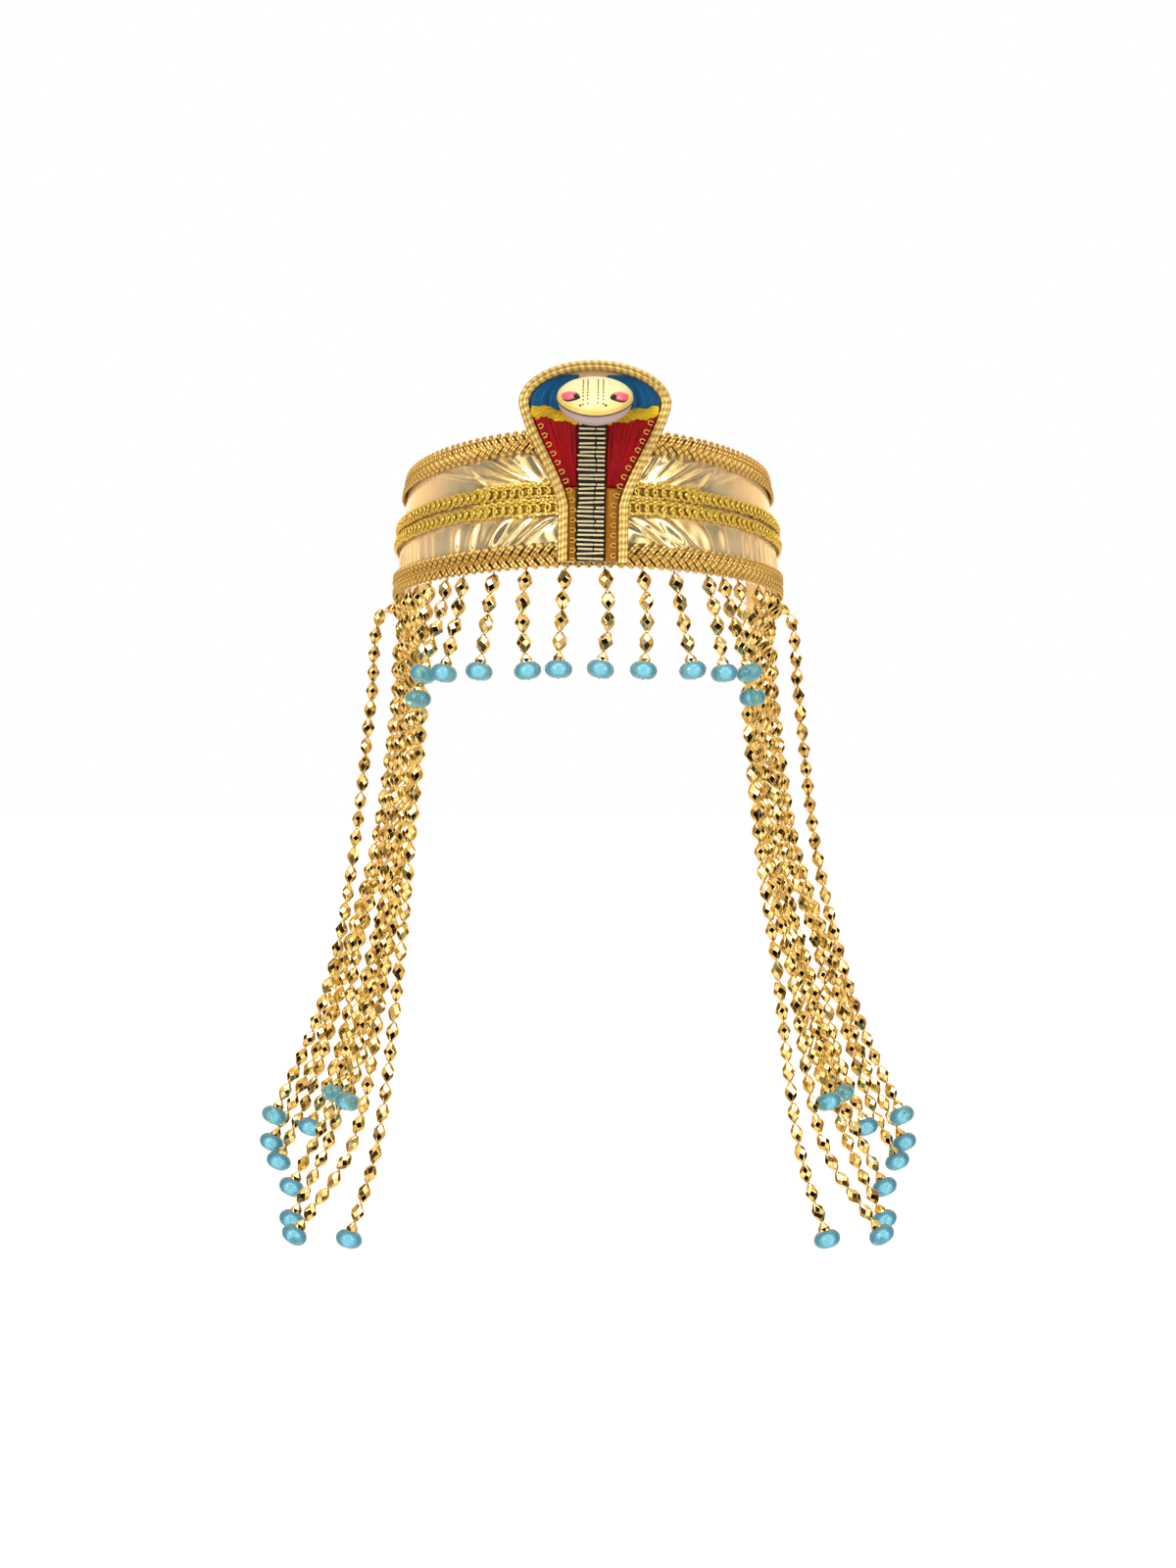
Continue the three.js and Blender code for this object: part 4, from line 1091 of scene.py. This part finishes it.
def on_head(points):
    """From the head's frame, x across, y out of the skull and z along the snout."""
    return on_cobra(np.asarray(points, float) @ head_turn.T + np.array([0, HEAD_MIDDLE, HEAD_STANDOFF]))


def fullness(along):
    """Width of the head beside a round one, by the place along the snout."""
    return 1 - HEAD_TAPER * along - HEAD_POINTING * along**2


def half_head(share, rise):
    """Half a head: flat at the mouth, with a rolled lip, and domed away from it up or down."""
    turn = np.linspace(0, math.pi / 2, 26)[3:]
    lip = 0.97 + LIP_BULGE * np.sin(np.linspace(0, math.pi, 7))
    dome = LIP_SHARE + (1 - LIP_SHARE) * np.sin(turn) ** DOME_POWER
    radius = np.concatenate([[0.0, 0.9], lip, np.cos(turn) ** DOME_SPREAD])
    height = np.concatenate([[0.0, 0.0], np.linspace(0.01, LIP_SHARE, 7), dome])
    radius[-1] = 0.001
    angle = 2 * np.pi * np.arange(HEAD_SIDES) / HEAD_SIDES
    along = radius[:, None] * np.cos(angle)[None, :]
    x = radius[:, None] * np.sin(angle)[None, :] * fullness(along) * HEAD_HALF_WIDTH * share
    y = np.broadcast_to(height[:, None] * abs(rise - MOUTH_RISE), x.shape)
    points = np.stack([x, y, along * HEAD_HALF_LENGTH * share], axis=-1).reshape(-1, 3)
    points = points * [1, np.sign(rise), 1] + [0, MOUTH_RISE if rise > 0 else MOUTH_RISE - GAP, 0]
    faces = grid_faces(len(radius), HEAD_SIDES, closed=True)
    faces = faces[:, ::-1] if rise < 0 else faces
    return on_head(points), faces, points[:, [1, 0]][faces], 0


# Pale gold paint on cloth: brushed thin, cream over the skull, with painted shade that turns it darker and
# yellower towards the lip at the head's lower rim; both tones drift in small patches.
LIP_RAGGED = 5.0
CREAM_FROM = 5.5  # height over the mouth with the ragged edge's
CREAM_FULL = 9.5
gold_paint, tree, shader = new_material("pale_gold_paint_on_cloth")
uv = add_node(tree, "ShaderNodeUVMap", uv_map="millimetres")
split = add_node(tree, "ShaderNodeSeparateXYZ", {0: uv.outputs[0]})
patches = add_node(tree, "ShaderNodeTexNoise", {"Scale": 260.0, "Detail": 5.0})
ragged = add_node(
    tree,
    "ShaderNodeMath",
    {0: patches.outputs["Fac"], 1: LIP_RAGGED, 2: split.outputs["X"]},
    operation="MULTIPLY_ADD",
)
# Painted shade: the tint runs from the darker, yellower lip up to the cream crown.
lip_shade_to_crown = add_node(
    tree, "ShaderNodeMapRange", {"Value": ragged.outputs[0], "From Min": CREAM_FROM, "From Max": CREAM_FULL}
)
lip, crown = (
    add_node(
        tree,
        "ShaderNodeMix",
        {"Factor": patches.outputs["Fac"], "A": linear(dark), "B": linear(light)},
        data_type="RGBA",
    )
    for dark, light in (("#b8902c", "#f6df7c"), ("#e2c468", "#fff6d4"))
)
tint = add_node(
    tree,
    "ShaderNodeMix",
    {"Factor": lip_shade_to_crown.outputs[0], "A": lip.outputs["Result"], "B": crown.outputs["Result"]},
    data_type="RGBA",
)
weave = add_node(tree, "ShaderNodeTexNoise", {"Scale": 1100.0, "Detail": 2.0})
bump = add_node(
    tree, "ShaderNodeBump", {"Height": weave.outputs["Fac"], "Strength": 0.25, "Distance": 0.0002}
)
set_inputs(tree, shader, {"Base Color": tint.outputs["Result"], "Normal": bump.outputs[0]})
set_inputs(tree, shader, {"Metallic": 0.2, "Roughness": 0.36})

# Mauve paint on the jaw: matt, a little worn to brown.
mauve_paint = mottled("mauve_paint_on_cloth", "#806a68", "#bca6a2", 220.0, 4.0, {"Roughness": 0.42})[0]

upper = half_head(1, HEAD_RISE)
lower = half_head(JAW_SHARE, -JAW_DEPTH)
head = make_piece("cobra_head_cloth", [upper], [gold_paint], ["cobra_head"])
jaw = make_piece("cobra_jaw_cloth", [lower], [mauve_paint], ["cobra_jaw"])

# Eyes: polished red acrylic, mottled in lighter and darker patches, each with a black painted pupil at its
# inner end.
polish = {"Roughness": 0.08, "Coat Weight": 1.0}
red_stone = mottled("red_acrylic_polished", "#d01838", "#ff7a90", 240.0, 1.0, polish)[0]


def paint(name, dark, light, roughness):
    """A brushed coat of paint, thicker and thinner in small patches."""
    made, tree, shader, strokes = mottled(name, dark, light, 600.0, 4.0, {})
    rough = add_node(
        tree, "ShaderNodeMapRange", {"Value": strokes, "To Min": roughness - 0.1, "To Max": roughness + 0.15}
    )
    bump = add_node(tree, "ShaderNodeBump", {"Height": strokes, "Strength": 0.2, "Distance": 0.0001})
    set_inputs(tree, shader, {"Roughness": rough.outputs[0], "Normal": bump.outputs[0]})
    return made


black_paint = paint("black_gloss_paint_brushed", "#060505", "#1c1714", 0.25)


def eye_frame(side, place):
    """Axes of an eye that lies on the skull with its inner end lower: along it, out of the skull, across."""
    out = place / np.array([HEAD_HALF_WIDTH, HEAD_RISE, HEAD_HALF_LENGTH]) ** 2
    out /= np.linalg.norm(out)
    seen = np.array([side * math.cos(EYE_SLANT), math.sin(EYE_SLANT), 0.0]) @ head_turn
    long = seen - out * (seen @ out)
    long /= np.linalg.norm(long)
    return np.column_stack([long, out, np.cross(long, out)])


def ellipsoid(radii, rows, columns, point):
    """A smooth stone; a point over 0 narrows it towards both its ends."""
    up = np.linspace(-math.pi / 2, math.pi / 2, rows)
    angle = 2 * np.pi * np.arange(columns) / columns
    x = np.cos(up)[:, None] * np.cos(angle)[None, :]
    z = np.cos(up)[:, None] * np.sin(angle)[None, :] * (1 - point * x**2)
    y = np.broadcast_to(np.sin(up)[:, None], x.shape)
    return np.stack([x * radii[0], y * radii[2], z * radii[1]], axis=-1).reshape(-1, 3)


# radii, rows, columns, pointedness, shift along, out of and across the eye, material
EYE_LAYERS = [
    (EYE_RADII, 16, 28, 0.4, (0, 0, 0), 0),
    (EYE_RIM_RADII, 12, 28, 0.4, (-0.2, -0.1, 0), 1),
    (PUPIL_RADII, 12, 18, 0.0, (-PUPIL_IN, PUPIL_LIFT, 0), 1),
]
for side, sign in (("left", -1), ("right", 1)):
    place = np.array([sign * EYE_OUT, EYE_LIFT, EYE_FORWARD])
    turn = eye_frame(sign, place)
    parts = []
    for radii, rows, columns, point, shift, material in EYE_LAYERS:
        layer = (ellipsoid(radii, rows, columns, point) + shift) @ turn.T + place
        parts.append((on_head(layer), grid_faces(rows, columns, closed=True), None, material))
    make_piece(f"eye_stone_{side}", parts, [red_stone, black_paint], [f"eye_{side}"])


def on_skull(x, z, rise):
    """A point of the head's surface above a place of the mouth's plane."""
    along = z / HEAD_HALF_LENGTH
    across = x / (HEAD_HALF_WIDTH * fullness(along))
    reach = min(math.hypot(along, across), 1.0)
    dome = LIP_SHARE + (1 - LIP_SHARE) * math.sin(math.acos(reach ** (1 / DOME_SPREAD))) ** DOME_POWER
    return np.array([x, MOUTH_RISE + (rise - MOUTH_RISE) * dome, z])


row_places = np.arange(*STITCH_RUN, STITCH_PITCH_SNOUT)
dots = [(x, z, HEAD_RISE, STITCH_RADII) for x in STITCH_ROWS for z in row_places]
dots += [(x, z, HEAD_RISE, NOSTRIL_RADII) for x, z in NOSTRILS]
dots += [(x, z, -JAW_DEPTH, JAW_MARK_RADII) for x, z in JAW_MARKS]
stitch_parts = []
for x, z, rise, (wide, long) in dots:
    dot = ellipsoid((wide, long, DOT_HEIGHT), 8, 12, 0.0) + on_skull(x, z, rise)
    stitch_parts.append((on_head(dot), grid_faces(8, 12, closed=True), None, 0))
make_piece("snout_stitches", stitch_parts, [black_paint])
# A thin dark mauve cord along the mouth, between head and jaw: painted shade for the dark line of the gap
# there.
turn = np.linspace(-0.6 * math.pi, 0.6 * math.pi, 60)
along = np.cos(turn)
mouth_x = MOUTH_LINE_SHARE * np.sin(turn) * fullness(along) * HEAD_HALF_WIDTH
mouth_z = MOUTH_LINE_SHARE * along * HEAD_HALF_LENGTH
mouth = np.stack([mouth_x, 0 * turn + MOUTH_RISE - GAP / 2, mouth_z], axis=1)
mouth_line = sweep(on_head(mouth), cobra_out(len(turn)), MOUTH_LINE_RADIUS, 8)
mouth_shade_paint = paint("dark_mauve_painted_mouth_shade", "#46303a", "#745a5c", 0.5)
make_piece("mouth_line", [mouth_line], [mouth_shade_paint])


# Bead strings. Hollow plastic beads, plated a mirror gold and moulded with lozenge facets round the
# middle and kites towards thin necks, are strung on gilt thread, and each string ends in a half bead
# and a flattened turquoise glass bead held by a knot.
BEAD_PITCH = 8.7
BEAD_RADIUS = 3.2
BEAD_COLLAR = 1.2
BEAD_NECK = 0.7
BEAD_BEVEL = 0.1
BEAD_APART = 0.1  # half the space between neighbouring beads
NECK_LENGTH = 0.45
BEAD_UNEVEN = 0.015  # how unlike in size the beads are
BEAD_TIP = 0.09  # how far the beads tip out of line
CAP_LENGTH = 4.6
CAP_RADIUS = 2.9
CAP_SHOULDER = 2.3  # from its top to its facets' middle corners
THREAD_LENGTH = 1.2
THREAD_RADIUS = 0.42
KNOT_RADII = (0.6, 0.55, 0.4)
DROP_RADIUS = 5.9
DROP_HEIGHT = 8.4
DROP_SINK = 1.3
DROP_HOLE = 0.45  # radius
DROP_ROWS = 19
DROP_SIDES = 32
BRAID_THICKNESS = 2.1
SEAT_OUT = GAP + BRAID_THICKNESS / 2 - BAND_WALL / 2  # the middle of band and braid together
SEAT_DROP = GAP
bead_rng = np.random.default_rng(3)


def bevelled(points, faces):
    """The triangles of a facetted solid with its edges softened."""
    solid = bmesh.new()
    corners = [solid.verts.new(p) for p in points]
    for face in faces:
        solid.faces.new([corners[i] for i in face])
    bmesh.ops.recalc_face_normals(solid, faces=solid.faces)
    bmesh.ops.bevel(solid, geom=solid.edges[:], offset=BEAD_BEVEL, segments=1, affect="EDGES", profile=0.5)
    bmesh.ops.triangulate(solid, faces=solid.faces)
    solid.verts.index_update()
    made = np.array([v.co for v in solid.verts]), np.array([[v.index for v in f.verts] for f in solid.faces])
    solid.free()
    return made


def ring_points(radius, height, start):
    turn = np.radians(start + 60.0 * np.arange(6))
    return [(radius * math.cos(t), radius * math.sin(t), height) for t in turn]


half = BEAD_PITCH / 2 - BEAD_APART
collar = half - NECK_LENGTH
shoulder = 0.25 * BEAD_RADIUS * collar / (BEAD_RADIUS - BEAD_COLLAR)
flat_radius = BEAD_RADIUS * math.cos(math.pi / 6)
bead_points = (
    ring_points(BEAD_COLLAR, collar, 30)
    + ring_points(flat_radius, shoulder, 0)
    + ring_points(BEAD_RADIUS, 0.0, 30)
    + ring_points(flat_radius, -shoulder, 0)
    + ring_points(BEAD_COLLAR, -collar, 30)
    + ring_points(BEAD_NECK, half, 30)
    + ring_points(BEAD_NECK, -half, 30)
)
bead_faces = [tuple(range(30, 36)), tuple(range(36, 42))]
for i in range(6):
    k = (i + 1) % 6
    bead_faces.append((6 + k, 12 + k, 18 + k, 12 + i))
    bead_faces.append((i, 6 + i, 12 + i, 6 + k))
    bead_faces.append((24 + i, 18 + k, 12 + i, 18 + i))
    bead_faces += [(i, 6 + k, k), (24 + i, 24 + k, 18 + k)]
    bead_faces += [(i, k, 30 + k, 30 + i), (24 + i, 36 + i, 36 + k, 24 + k)]
BEAD = bevelled(bead_points, bead_faces)
cap_points = (
    ring_points(BEAD_NECK, CAP_LENGTH / 2, 30)
    + ring_points(CAP_RADIUS * 0.87, CAP_LENGTH / 2 - CAP_SHOULDER, 0)
    + ring_points(CAP_RADIUS, -CAP_LENGTH / 2, 30)
)
cap_faces = [tuple(range(6)), tuple(range(12, 18))]
for i in range(6):
    k = (i + 1) % 6
    cap_faces += [(i, 6 + k, k), (i, 6 + i, 12 + i, 6 + k), (6 + k, 12 + i, 12 + k)]
CAP = bevelled(cap_points, cap_faces)


def plating(name, thin_colour, full_colour):
    """Gold plating on moulded plastic: a bright mirror, warmer in thin spots, with faint handling haze."""
    made, tree, shader, _ = mottled(name, thin_colour, full_colour, 90.0, 3.0, {"Metallic": 1.0})
    haze = add_node(tree, "ShaderNodeTexNoise", {"Scale": 400.0, "Detail": 4.0})
    rough = add_node(
        tree, "ShaderNodeMapRange", {"Value": haze.outputs["Fac"], "To Min": 0.05, "To Max": 0.14}
    )
    set_inputs(tree, shader, {"Roughness": rough.outputs[0]})
    return made


fringe_plate = plating("pale_gold_plated_plastic_moulded", "#e8cf94", "#f6e9c2")
# The strands' plating is a darker, warmer copy of the same gold: painted shade for strands that hang shadowed
# among one another.
shaded_strand_plate = plating("gold_plated_plastic_moulded_painted_shade", "#e4c47c", "#f5e3b0")
string_thread = thread_material("gilt_beading_thread", "#e6c680", "#a88440", 0.9, 0.4, 0.5)

# Turquoise glass: pressed, half clear with a milky body and a softly worn surface, so it glows at its
# heart and is deep at its rim.
glass = {"Roughness": 0.2, "IOR": 1.5, "Transmission Weight": 0.7}
turquoise = mottled("turquoise_glass_pressed", "#4cb2ca", "#9edae8", 60.0, 1.0, glass)[0]


def along_curve(curve, places):
    """Points and directions at distances along a finely drawn curve."""
    steps = run_of(curve)
    at = np.stack([np.interp(places, steps, curve[:, k]) for k in range(3)], axis=1)
    slope = np.gradient(curve, axis=0)
    ahead = np.stack([np.interp(places, steps, slope[:, k]) for k in range(3)], axis=1)
    return at, unit(ahead)


def down_frame(ahead, spin):
    """Axes of a bead whose top looks back along its string."""
    up = -ahead
    side = np.cross([0.0, 1.0, 0.0], up)
    side /= np.linalg.norm(side)
    front = np.cross(up, side)
    return np.column_stack(
        [math.cos(spin) * side + math.sin(spin) * front, math.cos(spin) * front - math.sin(spin) * side, up]
    )


def drop_part():
    """The outside of a flattened bead with a dimple at each end of its hole."""
    up = np.linspace(-math.pi / 2, math.pi / 2, DROP_ROWS)
    radius = DROP_RADIUS * np.cos(up) ** 0.97
    radius[[0, -1]] = DROP_HOLE
    height = DROP_HEIGHT / 2 * np.sin(up) * (1.03 - 0.12 * np.sin(up) ** 12)
    angle = 2 * np.pi * np.arange(DROP_SIDES) / DROP_SIDES
    x, y = radius[:, None] * np.cos(angle), radius[:, None] * np.sin(angle)
    points = np.stack([x, y, np.broadcast_to(height[:, None], x.shape)], axis=-1).reshape(-1, 3)
    return points, grid_faces(DROP_ROWS, DROP_SIDES, closed=True)[:, ::-1]


DROP = drop_part()


def bead_string(name, curve, node, plate, girth):
    """Strings beads along a curve from its seat to its end and closes it with a turquoise bead."""
    length = float(np.linalg.norm(np.diff(curve, axis=0), axis=1).sum())
    strung = length - THREAD_LENGTH - CAP_LENGTH
    count = round(strung / BEAD_PITCH)
    pitch = strung / count
    places = THREAD_LENGTH + pitch * (np.arange(count) + 0.5)
    parts = []
    for at, ahead in zip(*along_curve(curve, places)):
        tipped = ahead + bead_rng.normal(0, BEAD_TIP, 3)
        frame_of_bead = down_frame(tipped / np.linalg.norm(tipped), bead_rng.uniform(0, math.pi))
        size = np.array([girth, girth, pitch / BEAD_PITCH]) * (1 + bead_rng.normal(0, BEAD_UNEVEN))
        parts.append(((BEAD[0] * size) @ frame_of_bead.T + at, BEAD[1], None, 0))
    ends, ways = along_curve(curve, np.array([length - CAP_LENGTH / 2, length]))
    frame_of_end = down_frame(ways[1], bead_rng.uniform(0, math.pi))
    parts.append((CAP[0] @ frame_of_end.T + ends[0], CAP[1], None, 0))
    middle = ends[1] + ways[1] * (DROP_HEIGHT / 2 - DROP_SINK)
    parts.append((DROP[0] @ frame_of_end.T + middle, DROP[1], None, 2))
    hard = len(parts)
    thread_end = middle + ways[1] * 0.86 * DROP_HEIGHT / 2
    thread_line = along_curve(curve, np.linspace(0, length, 60))[0]
    outward = np.tile([0.0, -1.0, 0.1], (len(thread_line), 1))
    parts.append(sweep(thread_line, outward, THREAD_RADIUS, 6, material=1))
    knot = ellipsoid(KNOT_RADII, 8, 12, 0.0) + thread_end
    parts.append((knot, grid_faces(8, 12, closed=True), None, 1))
    made = make_piece(name, parts, [plate, string_thread, turquoise], [node], smooth=False)
    first_smooth = sum(len(faces) for _, faces, _, _ in parts[: hard - 1])
    flags = np.arange(len(made.data.polygons)) >= first_smooth
    made.data.polygons.foreach_set("use_smooth", flags)


# Short fringe: x is the place on the rim, beads counts the whole beads, swing is how far the end hangs
# out of line with the start and bow how far the middle hangs out of line with both.
FRINGE_GIRTH = 1.05  # width of its beads beside the middle size
FRINGE_COLUMNS = ("x", "beads", "swing", "bow")
FRINGE = [
    (-69, 5, -5.5, -0.8),
    (-61, 4, -10, 0.6),
    (-53.6, 4, -8, 0.5),
    (-40.1, 4, -6, 0.0),
    (-26, 4, 0, -1.8),
    (-9.3, 4, -3, -0.4),
    (6.8, 4, -1, 2.3),
    (23, 4, 0.8, 1.6),
    (36.6, 4, 7.5, 0.0),
    (51.1, 4, 7.2, 0.6),
    (58.2, 4, 11, -0.5),
    (65.5, 5, 6.2, 0.8),
]
RIM_FRONT = slice(RIM_STEPS // 4, 3 * RIM_STEPS // 4 + 1)
for number, row in enumerate((dict(zip(FRINGE_COLUMNS, row)) for row in FRINGE), start=1):
    seat_arc = np.interp(row["x"], rim_x[RIM_FRONT], rim_arcs[RIM_FRONT])
    seat = on_band(seat_arc, 0.0, -SEAT_DROP, SEAT_OUT)
    length = THREAD_LENGTH + row["beads"] * BEAD_PITCH + CAP_LENGTH
    t = np.linspace(0, 1, 60)
    fall = math.sqrt(length**2 - row["swing"] ** 2)
    curve = seat + np.stack([row["swing"] * t + row["bow"] * np.sin(np.pi * t), 0 * t, -fall * t], axis=1)
    bead_string(f"fringe_string_{number:02d}", curve, f"fringe_{number:02d}", fringe_plate, FRINGE_GIRTH)


# Long strands: the same beads, hung from the rim over the ears. Each row gives the seat on the rim, the
# distance from the middle plane at six heights, the first of these heights and that of the end, for
# both sides. The last strand swings out from the rim.
STRAND_COLUMNS = ("seat_y", "ear_x", "ear_z", "neck_x", "waist_x", "flare_x", "hem_x", "tip_x", "tip_z")
STRANDS = [
    (-42, 74.5, -20, 73.2, 78.3, 82.2, 91.5, 102.1, -280),
    (-32, 76.8, -20, 75, 80.7, 88.5, 103.3, 126, -280.3),
    (-21, 79.4, -20, 77, 82.7, 91, 94.6, 105, -223.9),
    (-12.5, 81.6, -20, 79, 85.1, 93.9, 113.6, 129.7, -276.7),
    (-2, 84, -20, 81.4, 87.2, 98.2, 104, 112.8, -222.6),
    (8, 86, -20, 83.5, 91.5, 96.8, 115.3, 132.2, -265.6),
    (27, 88, -20, 86.6, 94.7, 106.8, 113.5, 126.2, -241.2),
    (36, 89.1, -20, 89.1, 96.9, 110.5, 126.1, 141.4, -258),
    (45, 90.1, -20, 91.6, 100.3, 113.5, 128.4, 145.7, -250.7),
    (17.5, 96.4, -7, 101, 107.8, 115.5, 126, 141.5, -234.8),
]
STRAND_GIRTH = 0.94  # width of their beads beside the middle size
NECK_Z, WAIST_Z, FLARE_Z = -46.0, -114.0, -165.0
HEM_RISE = 35.0  # from the end
RIGHT_TUCK = 2.7  # how much nearer the neck the right strands hang
STRAND_FORWARD = 37.0  # how far a strand comes forward over its fall
STRAND_FALL = 285.0
STRAND_LEAD = 2.5  # straight start under the rim
CURVE_STEPS = 40  # from one stop to the next


def smooth_curve(stops):
    """A curve through all its stops that never overshoots between near ones."""
    stops = np.concatenate([[2 * stops[0] - stops[1]], stops, [2 * stops[-1] - stops[-2]]])
    drawn = []
    for p in range(1, len(stops) - 2):
        p0, p1, p2, p3 = stops[p - 1 : p + 3]
        d0, d1, d2 = (math.sqrt(np.linalg.norm(b - a)) for a, b in ((p0, p1), (p1, p2), (p2, p3)))
        m1 = ((p1 - p0) / d0 - (p2 - p0) / (d0 + d1) + (p2 - p1) / d1) * d1
        m2 = ((p2 - p1) / d1 - (p3 - p1) / (d1 + d2) + (p3 - p2) / d2) * d1
        t = np.linspace(0, 1, CURVE_STEPS, endpoint=False)[:, None]
        c2, c3 = -3 * p1 + 3 * p2 - 2 * m1 - m2, 2 * p1 - 2 * p2 + m1 + m2
        drawn.append(p1 + m1 * t + c2 * t**2 + c3 * t**3)
    return np.concatenate(drawn + [stops[-2:-1]])


for side, sign, tuck in (("left", -1, 0.0), ("right", 1, RIGHT_TUCK)):
    for number, row in enumerate((dict(zip(STRAND_COLUMNS, row)) for row in STRANDS), start=1):
        seat = on_band(side_arc(row["seat_y"]), 0.0, -SEAT_DROP, SEAT_OUT)
        stops = [
            (seat[0], seat[2] - STRAND_LEAD),
            (row["ear_x"] - tuck, row["ear_z"]),
            (row["neck_x"] - tuck, NECK_Z),
            (row["waist_x"] - tuck, WAIST_Z),
            (row["flare_x"], FLARE_Z),
            (row["hem_x"], row["tip_z"] + HEM_RISE),
            (row["tip_x"], row["tip_z"]),
        ]
        route = [seat]
        for x, z in stops:
            fallen = np.clip(-z / STRAND_FALL, 0, 1)
            route.append(np.array([x, seat[1] - STRAND_FORWARD * fallen**2 * (3 - 2 * fallen), z]))
        curve = smooth_curve(np.array(route)) * [sign, 1, 1]
        label = f"{side}_{number:02d}"
        bead_string(f"strand_string_{label}", curve, f"strand_{label}", shaded_strand_plate, STRAND_GIRTH)
